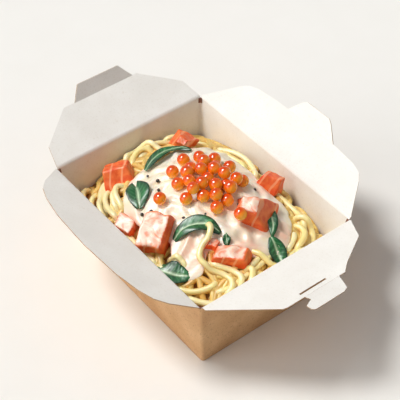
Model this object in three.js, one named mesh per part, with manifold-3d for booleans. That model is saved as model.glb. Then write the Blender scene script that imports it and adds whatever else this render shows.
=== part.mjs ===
// A takeaway noodle box: an open tapered board carton with four raised flaps, heaped with thick
// noodles under a cream sauce, with salmon pieces, basil leaves and salmon roe on top.
// Millimetres, +Z up. The origin is the centre of the carton's underside, +X runs along its long
// side, and the four flaps swing about the carton's top edges.
import * as THREE from "three";
import { mergeVertices } from "three/addons/utils/BufferGeometryUtils.js";
import Module from "manifold-3d";

const wasm = await Module();
wasm.setup();

// Carton
const RIM_LENGTH = 130;
const RIM_WIDTH = 102;
const HEIGHT = 54;
const WALL_TAPER = 7;
const BOARD = 0.6;
const CORNER_RADIUS = 1.6;
const WALL_TOP = HEIGHT - 0.8;
const BEAD_TOP = 49;
const BEAD_WIDTH = 2.5;
const BEAD_PROUD = 0.3;

// Flaps
const FLAP_ROOT = 0.8;
const LONG_ROOT_HALF = 64;
const SHORT_ROOT_HALF = 50;
const LONG_REACH = 27;
const SHORT_REACH = 31;
const CREASE_LAP = 0.3;

// Food
const GAP = 0.35;
const HEAP_TOP = 60;
const HEAP_DROP = 17;
const HEAP_HALF_LENGTH = 61;
const HEAP_HALF_WIDTH = 47;
const HEAP_SQUARENESS = 2.3;
const HEAP_STEEPNESS = 1.9;
const CORE_DEPTH = 4;
const CORE_FLOOR = BOARD + GAP;
const CORE_SIDE_STEPS = 5;
const CORE_SHARES = [0.82, 0.62, 0.4, 0.18];
const NOODLE_RADIUS = 1.7;
const NOODLE_FACET = 6.4;
const NOODLE_SIDES = 5;
const SAUCE_THICKNESS = 1;
const SAUCE_EDGE_FALL = 1.2;
const SAUCE_CENTRE = [2, 0];
const ROE_RADIUS = 3.6;
const ROE_COUNT = 26;
const ROE_SPREAD = 3.7;
const ROE_CENTRE = [0, 4];
const LEAF_THICKNESS = 0.7;
const SPECK_RADIUS = 0.8;

const COLOURS = {
  kraft: 0xc69c6d,
  board: 0xf0ede4,
  noodle: 0xf0dc94,
  sauce: 0xf6e7d6,
  salmon: 0xf0793f,
  leaf: 0x1f6b3a,
  roe: 0xee4a1c,
};

function material(colour, roughness) {
  return new THREE.MeshStandardMaterial({ color: colour, roughness, metalness: 0 });
}

// A repeatable stream of numbers from 0 to 1
function randomStream(seed) {
  let state = seed;
  return () => {
    state = (state * 1664525 + 1013904223) % 4294967296;
    return state / 4294967296;
  };
}

// Solids: geometry to manifold and back
function solidOf(geometry) {
  const bare = new THREE.BufferGeometry();
  bare.setAttribute("position", geometry.getAttribute("position").clone());
  bare.setIndex(geometry.index);
  const merged = mergeVertices(bare, 1e-4);
  return new wasm.Manifold(
    new wasm.Mesh({
      numProp: 3,
      vertProperties: new Float32Array(merged.attributes.position.array),
      triVerts: new Uint32Array(merged.index.array),
    }),
  );
}

function geometryOf(solid) {
  const { vertProperties, triVerts } = solid.getMesh();
  const geometry = new THREE.BufferGeometry();
  geometry.setAttribute("position", new THREE.BufferAttribute(vertProperties, 3));
  geometry.setIndex(new THREE.BufferAttribute(triVerts, 1));
  geometry.computeVertexNormals();
  return geometry;
}

function union(solids) {
  return solids.reduce((joined, solid) => joined.add(solid));
}

function cutAway(solid, cutters) {
  return cutters.reduce((rest, cutter) => rest.subtract(cutter), solid);
}

function largestBody(solid) {
  return solid.decompose().sort((a, b) => b.volume() - a.volume())[0];
}

// A closed solid through rings of equally many points, with a flat or domed cap at both ends
function loft(rings) {
  const count = rings[0].length;
  const positions = rings.flat().flatMap((p) => [p.x, p.y, p.z]);
  const index = [];
  for (let ring = 0; ring < rings.length - 1; ring++) {
    for (let i = 0; i < count; i++) {
      const a = ring * count + i;
      const b = ring * count + ((i + 1) % count);
      index.push(a, b, b + count, a, b + count, a + count);
    }
  }
  const capAt = (ring, order) => {
    const centre = new THREE.Vector3();
    ring.forEach((p) => centre.addScaledVector(p, 1 / count));
    const hub = positions.length / 3;
    positions.push(centre.x, centre.y, centre.z);
    for (let i = 0; i < count; i++) {
      order(hub, i, (i + 1) % count);
    }
  };
  const last = (rings.length - 1) * count;
  capAt(rings[0], (hub, a, b) => index.push(hub, b, a));
  capAt(rings[rings.length - 1], (hub, a, b) => index.push(hub, last + a, last + b));
  const geometry = new THREE.BufferGeometry();
  geometry.setAttribute("position", new THREE.Float32BufferAttribute(positions, 3));
  geometry.setIndex(index);
  return geometry;
}

// Half length and half width of the carton's outer face at a height
function wallHalf(z) {
  const inset = WALL_TAPER * (1 - z / HEIGHT);
  return [RIM_LENGTH / 2 - inset, RIM_WIDTH / 2 - inset];
}

// The carton's rounded rectangle at a height, moved inwards by a margin
function cartonRing(z, margin, sideSteps = 1) {
  const [halfX, halfY] = wallHalf(z);
  const x = halfX - margin - CORNER_RADIUS;
  const y = halfY - margin - CORNER_RADIUS;
  const corners = [[x, y], [-x, y], [-x, -y], [x, -y]];
  const points = [];
  corners.forEach(([cx, cy], corner) => {
    for (let step = 0; step <= 3; step++) {
      const angle = ((corner + step / 3) * Math.PI) / 2;
      points.push(new THREE.Vector3(
        cx + CORNER_RADIUS * Math.cos(angle),
        cy + CORNER_RADIUS * Math.sin(angle),
        z,
      ));
    }
    const start = points[points.length - 1];
    const [nx, ny] = corners[(corner + 1) % 4];
    const next = ((corner + 1) * Math.PI) / 2;
    const end = new THREE.Vector3(
      nx + CORNER_RADIUS * Math.cos(next),
      ny + CORNER_RADIUS * Math.sin(next),
      z,
    );
    for (let step = 1; step < sideSteps; step++) {
      points.push(start.clone().lerp(end, step / sideSteps));
    }
  });
  return points;
}

function cartonBlock(zLow, zHigh, margin) {
  return solidOf(loft([cartonRing(zLow, margin), cartonRing(zHigh, margin)]));
}

// The folded web edge that stands slightly proud on one corner of the carton
function cornerBead(signX, signY) {
  const rings = [0, BEAD_TOP].map((z) => {
    const [halfX, halfY] = wallHalf(z);
    const cx = signX * (halfX - BEAD_WIDTH / 2 + BEAD_PROUD);
    const cy = signY * (halfY - BEAD_WIDTH / 2 + BEAD_PROUD);
    const reach = BEAD_WIDTH / 2;
    const inward = BEAD_WIDTH / 2 - BEAD_PROUD - BOARD / 2;
    const ring = [
      [cx + signX * reach, cy - signY * reach],
      [cx + signX * reach, cy + signY * (reach - 1)],
      [cx + signX * (reach - 1), cy + signY * reach],
      [cx - signX * reach, cy + signY * reach],
      [cx - signX * reach, cy + signY * inward],
      [cx + signX * inward, cy - signY * reach],
    ].map(([x, y]) => new THREE.Vector3(x, y, z));
    return signX * signY > 0 ? ring : ring.reverse();
  });
  return solidOf(loft(rings));
}

function buildTray() {
  const shell = cartonBlock(0, WALL_TOP, 0).subtract(cartonBlock(BOARD, HEIGHT + 1, BOARD));
  const beads = [[1, 1], [-1, 1], [-1, -1], [1, -1]].map(([sx, sy]) => cornerBead(sx, sy));
  return union([shell, ...beads]).subtract(cartonBlock(BOARD, HEIGHT + 1, BOARD));
}

// Flaps, each drawn flat: u runs along the hinge, w outwards from it, and the white side is up.
// An edge lists the half outline from the root to the middle of the free edge, and the other half
// mirrors it or has a list of its own. Angles are in degrees: the turn of the carton's side, and
// the tilt of the flap and the fold of its tab above level.
const FLAPS = [
  {
    name: "flap_back",
    turn: 0,
    tilt: 20,
    hinge: RIM_WIDTH / 2,
    edge: [
      [LONG_ROOT_HALF, FLAP_ROOT], [51, 19], [47, 23], [40, 25.2], [26, 26.4], [0, LONG_REACH],
    ],
    tab: {
      outline: [[-16, 0], [22, 0], [14, 8], [11, 10], [-7, 10], [-10, 8]],
      fold: 30,
    },
  },
  {
    name: "flap_right",
    turn: -90,
    tilt: 12,
    hinge: RIM_LENGTH / 2,
    edge: [
      [SHORT_ROOT_HALF, FLAP_ROOT], [SHORT_ROOT_HALF, 3], [22.5, SHORT_REACH - 0.7],
      [20, SHORT_REACH],
    ],
    otherEdge: [
      [SHORT_ROOT_HALF, FLAP_ROOT], [43.5, 14], [24, 26], [18, SHORT_REACH],
    ],
    tab: {
      outline: [[-14, 0], [9, 0], [7.5, 3], [12, 5], [11.5, 8], [10, 9.3], [-9, 9.3], [-12, 8]],
      fold: -12,
    },
    slit: { from: -8, to: 9.5, at: 27.8, width: 1.2 },
  },
  {
    name: "flap_front",
    turn: 180,
    tilt: 20,
    hinge: RIM_WIDTH / 2,
    edge: [
      [LONG_ROOT_HALF, FLAP_ROOT], [63, 2.5], [56, 13.5], [50, 19], [41, 22.5], [26, 25.5],
      [0, LONG_REACH],
    ],
  },
  {
    name: "flap_left",
    turn: 90,
    tilt: 20,
    hinge: RIM_LENGTH / 2,
    edge: [[SHORT_ROOT_HALF, FLAP_ROOT], [47, 13.4], [25.5, SHORT_REACH]],
    tab: {
      outline: [[-18, 0], [23, 0], [15.5, 9.5], [-12.5, 9.5]],
      fold: 40,
    },
  },
];

function boardPanel(outline, holes = []) {
  const shape = new THREE.Shape(outline.map(([u, w]) => new THREE.Vector2(u, w)));
  shape.holes = holes;
  return new THREE.ExtrudeGeometry(shape, { depth: BOARD, bevelEnabled: false });
}

function slitHole({ from, to, at, width }) {
  const hole = new THREE.Path();
  hole.moveTo(from, at - width / 2);
  hole.lineTo(from, at + width / 2);
  hole.lineTo(to, at + width / 2);
  hole.lineTo(to, at - width / 2);
  hole.closePath();
  return hole;
}

function buildFlap({ edge, otherEdge = edge, tab, slit }) {
  const mirrored = otherEdge.filter(([u]) => u > 0).map(([u, w]) => [-u, w]).reverse();
  const panel = solidOf(boardPanel([...edge, ...mirrored], slit ? [slitHole(slit)] : []));
  if (!tab) {
    return panel;
  }
  const reach = edge[edge.length - 1][1];
  const outline = tab.outline.map(([u, w]) => [u, w === 0 ? -CREASE_LAP : w]);
  const piece = boardPanel(outline);
  piece.rotateX(THREE.MathUtils.degToRad(tab.fold));
  piece.translate(0, reach - CREASE_LAP, 0);
  return panel.add(solidOf(piece));
}

// The heap's smooth top surface, a dome that falls away towards the carton's corners
function heapTop(x, y) {
  const along = (Math.abs(x) / HEAP_HALF_LENGTH) ** HEAP_SQUARENESS;
  const across = (Math.abs(y) / HEAP_HALF_WIDTH) ** HEAP_SQUARENESS;
  const reach = (along + across) ** (1 / HEAP_SQUARENESS);
  return HEAP_TOP - HEAP_DROP * reach ** HEAP_STEEPNESS;
}

function coreTop(x, y) {
  return heapTop(x, y) - CORE_DEPTH;
}

// The packed mass of noodles under the strands that show
function buildCore() {
  const settled = cartonRing(HEIGHT / 2, BOARD + GAP, CORE_SIDE_STEPS).map((flat, i) => {
    let z = HEIGHT / 2;
    let point = flat;
    for (let pass = 0; pass < 4; pass++) {
      point = cartonRing(z, BOARD + GAP, CORE_SIDE_STEPS)[i];
      z = coreTop(point.x, point.y);
    }
    return new THREE.Vector3(point.x, point.y, z);
  });
  const rings = [cartonRing(CORE_FLOOR, BOARD + GAP, CORE_SIDE_STEPS), settled];
  CORE_SHARES.forEach((share) => {
    rings.push(settled.map(({ x, y }) =>
      new THREE.Vector3(x * share, y * share, coreTop(x * share, y * share))));
  });
  return solidOf(loft(rings));
}

// A map of heights over the carton, on which each thing is laid in turn
const MAP_CELL = 1;
const MAP_COLUMNS = RIM_LENGTH / MAP_CELL + 1;
const MAP_ROWS = RIM_WIDTH / MAP_CELL + 1;

class HeightMap {
  constructor(surface) {
    this.heights = new Float32Array(MAP_COLUMNS * MAP_ROWS);
    for (let row = 0; row < MAP_ROWS; row++) {
      for (let column = 0; column < MAP_COLUMNS; column++) {
        const [x, y] = this.place(column, row);
        this.heights[row * MAP_COLUMNS + column] = surface(x, y);
      }
    }
  }

  place(column, row) {
    return [column * MAP_CELL - RIM_LENGTH / 2, row * MAP_CELL - RIM_WIDTH / 2];
  }

  // Calls visit(cell, squared distance) for each cell within a radius of a point
  near(x, y, radius, visit) {
    const reach = Math.ceil(radius / MAP_CELL);
    const middleColumn = Math.round((x + RIM_LENGTH / 2) / MAP_CELL);
    const middleRow = Math.round((y + RIM_WIDTH / 2) / MAP_CELL);
    for (let row = middleRow - reach; row <= middleRow + reach; row++) {
      for (let column = middleColumn - reach; column <= middleColumn + reach; column++) {
        const [cx, cy] = this.place(column, row);
        const squared = (cx - x) ** 2 + (cy - y) ** 2;
        const onMap = column >= 0 && row >= 0 && column < MAP_COLUMNS && row < MAP_ROWS;
        if (onMap && squared <= radius * radius) {
          visit(row * MAP_COLUMNS + column, squared);
        }
      }
    }
  }

  // The centre height at which a ball of this radius rests
  rest(x, y, radius) {
    let height = -Infinity;
    this.near(x, y, radius, (cell, squared) => {
      height = Math.max(height, this.heights[cell] + Math.sqrt(radius * radius - squared));
    });
    return height;
  }

  lay(x, y, z, radius) {
    this.near(x, y, radius, (cell, squared) => {
      this.heights[cell] = Math.max(this.heights[cell], z + Math.sqrt(radius * radius - squared));
    });
  }

  layFlat(x, y, z, radius) {
    this.near(x, y, radius, (cell) => {
      this.heights[cell] = Math.max(this.heights[cell], z);
    });
  }

  mean(x, y, radius) {
    let sum = 0;
    let count = 0;
    this.near(x, y, radius, (cell) => {
      sum += this.heights[cell];
      count += 1;
    });
    return sum / count;
  }
}

function flatCurve(places) {
  return new THREE.CatmullRomCurve3(places.map(([x, y]) => new THREE.Vector3(x, y, 0)));
}

// Noodle strands, each a smooth line through a few places in plan
const STRAND_STEP = 2.5;
const STRAND_SINK = 0.5;
const STRAND_GIVE = 0.6;
const END_LENGTH = 5;
const END_DIP = 2.6;

const UNDER_STRANDS = [
  [[-57, -32], [-58, -38], [-52, -43], [-44, -45]],
  [[-48, -34], [-46, -41], [-38, -45], [-30, -46]],
  [[-53, -13], [-58, -8], [-60, -2], [-58, 5], [-52, 8], [-44, 10]],
  [[-46, -13], [-52, -8], [-55, -2], [-53, 3], [-47, 5]],
  [[-34, 34], [-24, 41], [-12, 43], [-2, 40], [6, 34]],
  [[-32, 30], [-24, 35], [-12, 38], [-3, 35]],
  [[36, 33], [42, 38], [48, 39], [54, 34], [57, 26], [58, 16]],
  [[39, 29], [45, 33], [50, 32], [54, 26], [56, 19]],
  [[42, 26], [47, 27], [51, 22], [54, 14]],
  [[16, -44], [23, -43], [29, -44]],
  [[20, -28], [22, -32], [25, -36], [27, -40]],
  [[20, -37], [28, -34], [35, -35]],
  [[47, 3], [50, 0], [52, -6], [53, -12]],
  [[57, 4], [59, -1], [57, -7], [53, -10]],
  [[40, -44], [48, -40], [55, -34], [59, -25], [60, -14], [59, -4]],
];

const UPPER_STRANDS = [
  [[-50, -24], [-43, -34], [-37, -42], [-28, -45], [-18, -46], [-9, -46]],
  [[-42, -29], [-39, -36], [-33, -40], [-24, -42], [-17, -41]],
  [[-39, -27], [-36, -33], [-30, -37], [-22, -38]],
  [[-33, -24], [-38, -28], [-34, -33], [-27, -35], [-20, -36]],
  [[41, -4], [47, -1], [52, 1], [57, 3], [60, 9]],
  [[50, -12], [55, -9], [59, -13], [60, -20], [57, -27]],
  [[31, -44], [37, -43], [43, -39], [47, -33], [48, -28], [44, -24]],
];

// These lie over the leaves and a little clear of them
const CROSSING_LIFT = 0.15;
const CROSSING_STRANDS = [
  [
    [20, -14], [26, -14], [30, -18], [31, -23], [35, -28],
    [41, -27], [47, -22], [53, -21], [57, -25], [55, -31],
  ],
  [[37, -25], [43, -22], [49, -17], [55, -16], [59, -21]],
];

// Strands that lie loosely along the walls, laid first. Each begins near the wall at its own
// angle and sweeps round and a little inwards.
const WALL_STRAND_COUNT = 9;
const WALL_STRAND_REACH = [60, 46];
const WALL_STRAND_ROUNDNESS = 0.62;
const WALL_STRAND_START = 0.96;

function wallStrands() {
  const random = randomStream(7);
  return Array.from({ length: WALL_STRAND_COUNT }, (_, k) => {
    const start = (k / WALL_STRAND_COUNT) * 360 + 14 * random();
    const sweep = (random() < 0.5 ? -1 : 1) * (42 + 26 * random());
    const inner = 0.74 + 0.16 * random();
    const points = [];
    const bend = (value) => Math.sign(value) * Math.abs(value) ** WALL_STRAND_ROUNDNESS;
    for (let step = 0; step <= 4; step++) {
      const angle = THREE.MathUtils.degToRad(start + (sweep * step) / 4);
      const share = THREE.MathUtils.lerp(WALL_STRAND_START, inner, (step / 4) ** 2);
      points.push([
        WALL_STRAND_REACH[0] * share * bend(Math.cos(angle)),
        WALL_STRAND_REACH[1] * share * bend(Math.sin(angle)),
      ]);
    }
    return points;
  });
}

// Keeps a strand's centre clear of the carton's wall
function clearOfWall(x, y) {
  const [halfX, halfY] = wallHalf(heapTop(x, y));
  const margin = BOARD + GAP + NOODLE_RADIUS;
  return [
    THREE.MathUtils.clamp(x, margin - halfX, halfX - margin),
    THREE.MathUtils.clamp(y, margin - halfY, halfY - margin),
  ];
}

// Lays a strand on the map and returns the line that it takes
function drape(map, places, lift) {
  const plan = flatCurve(places);
  const length = plan.getLength();
  const count = Math.max(4, Math.round(length / STRAND_STEP));
  const flat = plan.getSpacedPoints(count).map(({ x, y }) => clearOfWall(x, y));
  const rests = flat.map(([x, y]) => map.rest(x, y, NOODLE_RADIUS) + lift);
  return flat.map(([x, y], i) => {
    let sum = 0;
    let weight = 0;
    rests.forEach((rest, j) => {
      const share = Math.exp(-(((i - j) / 2) ** 2));
      sum += share * rest;
      weight += share;
    });
    const along = (Math.min(i, count - i) * length) / count;
    const dip = END_DIP * (1 - THREE.MathUtils.smoothstep(along, 0, END_LENGTH));
    return new THREE.Vector3(x, y, Math.max(sum / weight, rests[i] - STRAND_GIVE) - dip);
  });
}

function layStrand(map, places, lift = -STRAND_SINK) {
  const line = drape(map, places, lift);
  const dense = new THREE.CatmullRomCurve3(line).getSpacedPoints(line.length * 3);
  dense.forEach(({ x, y, z }) => map.lay(x, y, z, NOODLE_RADIUS));
  return line;
}

function noodle(line) {
  const path = new THREE.CatmullRomCurve3(line);
  const section = new THREE.Shape();
  for (let side = 0; side < NOODLE_SIDES; side++) {
    const angle = (side / NOODLE_SIDES) * 2 * Math.PI;
    const corner = [NOODLE_RADIUS * Math.cos(angle), NOODLE_RADIUS * Math.sin(angle)];
    if (side === 0) {
      section.moveTo(...corner);
    } else {
      section.lineTo(...corner);
    }
  }
  section.closePath();
  const steps = Math.max(4, Math.round(path.getLength() / NOODLE_FACET));
  return solidOf(new THREE.ExtrudeGeometry(section, {
    steps,
    extrudePath: path,
    bevelEnabled: false,
  }));
}

// The sauce's outline, as its reach in each of sixteen directions from its centre
const SAUCE_REACH = [42, 54, 45, 36, 36, 34, 39, 42, 43, 40, 42, 42, 32, 30, 49, 38];

function sauceEdge(count) {
  const corners = SAUCE_REACH.map((reach, i) => {
    const angle = (i / SAUCE_REACH.length) * 2 * Math.PI;
    const x = SAUCE_CENTRE[0] + reach * Math.cos(angle);
    const y = SAUCE_CENTRE[1] + reach * Math.sin(angle);
    return new THREE.Vector3(x, y, 0);
  });
  return new THREE.CatmullRomCurve3(corners, true).getSpacedPoints(count).slice(0, count);
}

// The sauce as a blanket over the bare core: grow widens its outline and thickens both faces
const SAUCE_EDGE_POINTS = 30;
const SAUCE_SHARES = [0.3, 0.62, 0.88, 1];
const SAUCE_LEAST = 0.8;

function sauceBlanket(topAt, grow) {
  const edge = sauceEdge(SAUCE_EDGE_POINTS);
  const [cx, cy] = SAUCE_CENTRE;
  const ringAt = (share, height) => edge.map((p) => {
    const outward = new THREE.Vector2(p.x - cx, p.y - cy);
    outward.setLength(outward.length() * share + grow);
    const x = cx + outward.x;
    const y = cy + outward.y;
    return new THREE.Vector3(x, y, height(x, y, share));
  });
  const under = (x, y) => coreTop(x, y) + GAP - grow;
  const over = (x, y, share) => {
    const edgeFall = share === 1 ? SAUCE_EDGE_FALL : 0;
    return Math.max(topAt(x, y) - edgeFall, coreTop(x, y) + GAP + SAUCE_LEAST) + grow;
  };
  const bottom = SAUCE_SHARES.map((share) => ringAt(share, under));
  const top = [...SAUCE_SHARES].reverse().map((share) => ringAt(share, over));
  return solidOf(loft([...bottom, ...top]));
}

// Salmon pieces: place in plan, centre height above the heap, size, turn, pitch and roll in
// degrees, and how much the top narrows
const SALMON_SQUARENESS = 6;
const SALMON_WAVE = 0.05;
const SALMON = [
  { at: [-43, 21], rise: 1.2, size: [14, 11, 12], turn: 20, pitch: 8, roll: 42, taper: 0.4 },
  { at: [-46, -22], rise: -0.8, size: [19, 16, 12], turn: 62, pitch: -8, roll: -24, taper: 0.25 },
  { at: [-12.5, -41], rise: -2.5, size: [13, 10, 11], turn: 12, pitch: 0, roll: 20, taper: 0.15 },
  { at: [6.5, -36.5], rise: -1.5, size: [20, 20, 15], turn: 40, pitch: -4, roll: 28, taper: 0.1 },
  { at: [14, 38], rise: 2, size: [15, 10, 11], turn: 30, pitch: 10, roll: -20, taper: 0.3 },
  { at: [31.5, 14], rise: 1, size: [20, 19, 13], turn: 44, pitch: 0, roll: 20, taper: 0.45 },
  { at: [32.5, -17.5], rise: -1.5, size: [7, 6, 6], turn: 40, pitch: 10, roll: 10, taper: 0.2 },
  { at: [45.5, -13.5], rise: -0.4, size: [16, 10, 8], turn: 46, pitch: 0, roll: 12, taper: 0.15 },
];

function salmonPiece({ at, rise, size, turn, pitch, roll, taper }, grow = 0) {
  const geometry = new THREE.BoxGeometry(2, 2, 2, 3, 2, 2);
  const position = geometry.attributes.position;
  const half = size.map((side) => side / 2 + grow);
  for (let i = 0; i < position.count; i++) {
    const [a, b, c] = [position.getX(i), position.getY(i), position.getZ(i)];
    const powers = [a, b, c].map((value) => Math.abs(value) ** SALMON_SQUARENESS);
    const pull = 1 / (powers[0] + powers[1] + powers[2]) ** (1 / SALMON_SQUARENESS);
    const narrow = 1 - (taper * (c + 1)) / 2;
    const wave = 1 + SALMON_WAVE * Math.sin(4 * a + 2 * b);
    const across = half[1] * b * pull * narrow * wave;
    position.setXYZ(i, half[0] * a * pull * narrow, across, half[2] * c * pull);
  }
  const angles = [roll, pitch, turn].map(THREE.MathUtils.degToRad);
  const pose = new THREE.Euler(...angles, "ZYX");
  geometry.applyMatrix4(new THREE.Matrix4().makeRotationFromEuler(pose));
  geometry.translate(at[0], at[1], heapTop(...at) + rise);
  return solidOf(geometry);
}

// Leaves: a midrib through places in plan, the width, how much both halves fold up (positive) or
// hang down from the midrib, and how far the middle arches clear of what lies under it
const LEAVES = [
  { rib: [[-33, -13], [-37, -4], [-39, 6], [-37, 14], [-30, 17]], width: 8, fold: 0.25, arch: 1.5 },
  { rib: [[-13, -32], [-20, -28], [-28, -24]], width: 15, fold: 0.35, arch: 1.2 },
  { rib: [[14, -31], [18, -23], [23, -16], [29, -10]], width: 10, fold: 0.2, arch: 0.8 },
  { rib: [[19, -46], [25, -45], [31, -41], [37, -36]], width: 12, fold: 0.1, arch: 0.6 },
  { rib: [[27, 25], [35, 22], [42, 19], [47, 14]], width: 7, fold: 0.2, arch: 1.0 },
  { rib: [[46, 11], [51, 10.5], [56, 9.5], [60, 8.5]], width: 10, fold: 0.25, arch: 0.4 },
  { rib: [[33, -9], [38, -12]], width: 4.5, fold: 0.1, arch: 0.2 },
];

const LEAF_WAVE = 0.35;
const LEAF_ROW = 4;
const LEAF_COLUMNS = [-1, -0.5, 0, 0.5, 1];

function leafPoint({ rib, width, fold, arch }, map, along, across) {
  const curve = flatCurve(rib);
  const middle = curve.getPointAt(along);
  const heading = curve.getTangentAt(along);
  const half = (width / 2) * Math.sin(Math.PI * (0.04 + 0.92 * along)) ** 0.75;
  const x = middle.x - heading.y * half * across;
  const y = middle.y + heading.x * half * across;
  const wave = LEAF_WAVE * Math.sin(9 * along + 3 * across);
  const [safeX, safeY] = clearOfWall(x, y);
  const lift = arch * Math.sin(Math.PI * along) + fold * half * Math.abs(across) + wave;
  const ground = (map.mean(middle.x, middle.y, 3.5) + map.mean(safeX, safeY, 2.5)) / 2;
  return new THREE.Vector3(safeX, safeY, ground + lift + GAP);
}

// Both faces of a leaf share one grid, so they split into triangles alike
function leafSolid(points, rows, grow) {
  const columns = points[0].length - 1;
  const shift = (z, side) => z + (side > 0 ? LEAF_THICKNESS + grow : -grow);
  const positions = [];
  [1, -1].forEach((side) => {
    points.flat().forEach((p) => positions.push(p.x, p.y, shift(p.z, side)));
  });
  const face = (rows + 1) * (columns + 1);
  const at = (row, column, lower) => lower * face + row * (columns + 1) + column;
  const index = [];
  for (let row = 0; row < rows; row++) {
    for (let column = 0; column < columns; column++) {
      const [a, b] = [at(row, column, 0), at(row + 1, column, 0)];
      const [c, d] = [at(row + 1, column + 1, 0), at(row, column + 1, 0)];
      index.push(a, b, c, a, c, d);
      index.push(a + face, c + face, b + face, a + face, d + face, c + face);
    }
  }
  const rim = [];
  for (let row = 0; row < rows; row++) {
    rim.push([row, 0]);
  }
  for (let column = 0; column < columns; column++) {
    rim.push([rows, column]);
  }
  for (let row = rows; row > 0; row--) {
    rim.push([row, columns]);
  }
  for (let column = columns; column > 0; column--) {
    rim.push([0, column]);
  }
  rim.forEach(([row, column], i) => {
    const [nextRow, nextColumn] = rim[(i + 1) % rim.length];
    const a = at(row, column, 0);
    const b = at(nextRow, nextColumn, 0);
    index.push(b, a, a + face, b, a + face, b + face);
  });
  const geometry = new THREE.BufferGeometry();
  geometry.setAttribute("position", new THREE.Float32BufferAttribute(positions, 3));
  geometry.setIndex(index);
  return solidOf(geometry);
}

function leafGrid(leaf, map) {
  const rows = Math.max(4, Math.round(flatCurve(leaf.rib).getLength() / LEAF_ROW));
  const points = [];
  for (let row = 0; row <= rows; row++) {
    points.push(LEAF_COLUMNS.map((across) => leafPoint(leaf, map, row / rows, across)));
  }
  return { points, rows };
}

// Roe: a spiral of beads that share the pile evenly, and two that lie apart
const GOLDEN_ANGLE = Math.PI * (3 - Math.sqrt(5));
const ROE_MOUND = 3;
const ROE_MOUND_SIDES = 12;
const ROE_MOUND_SHARES = [0.4, 0.9];
const ROE_MOUND_RISE = 0.9;
const ROE_CLEARANCE = 0.1;
const ROE_PILE_RADIUS = ROE_SPREAD * Math.sqrt(ROE_COUNT);
// The third number raises a bead that leans against the salmon
const ROE_APART = [[-6, -23, 0], [31.5, 2, 3]];

function bead(x, y, z, radius) {
  const geometry = new THREE.SphereGeometry(radius, 6, 4);
  geometry.translate(x, y, z);
  return solidOf(geometry);
}

function roePlaces() {
  return Array.from({ length: ROE_COUNT }, (_, k) => {
    const radius = ROE_SPREAD * Math.sqrt(k + 0.3);
    const angle = k * GOLDEN_ANGLE + 0.6;
    return [ROE_CENTRE[0] + radius * Math.cos(angle), ROE_CENTRE[1] + radius * Math.sin(angle)];
  });
}

// The pile sits on a low mound, so that its beads hold together as one piece
function roeHeight(floor, x, y) {
  const reach = Math.hypot(x - ROE_CENTRE[0], y - ROE_CENTRE[1]) / ROE_PILE_RADIUS;
  return floor(x, y) + ROE_MOUND * Math.max(0, 1 - reach * reach);
}

function roePile(floor) {
  const ringAt = (share, height) => {
    const ring = [];
    for (let i = 0; i < ROE_MOUND_SIDES; i++) {
      const angle = (i / ROE_MOUND_SIDES) * 2 * Math.PI;
      const x = ROE_CENTRE[0] + share * ROE_PILE_RADIUS * Math.cos(angle);
      const y = ROE_CENTRE[1] + share * ROE_PILE_RADIUS * Math.sin(angle);
      ring.push(new THREE.Vector3(x, y, height(x, y)));
    }
    return ring;
  };
  const over = (x, y) => roeHeight(floor, x, y) + ROE_MOUND_RISE;
  const bottom = ROE_MOUND_SHARES.map((share) => ringAt(share, floor));
  const top = [...ROE_MOUND_SHARES].reverse().map((share) => ringAt(share, over));
  const mound = solidOf(loft([...bottom, ...top]));
  const beads = roePlaces().map(([x, y]) =>
    bead(x, y, roeHeight(floor, x, y) + ROE_RADIUS + ROE_CLEARANCE, ROE_RADIUS));
  return union([mound, ...beads]);
}

// Dark specks on the sauce
const SPECKS = [
  [-28, -15], [-20, -14], [-6, -29], [-9, -33], [11, -20],
  [17, -10], [16, 25], [22, 9], [-14, -18], [-24, -4],
];

function speck(x, y, z) {
  const geometry = new THREE.IcosahedronGeometry(SPECK_RADIUS, 0);
  geometry.translate(x, y, z);
  return solidOf(geometry);
}

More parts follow.
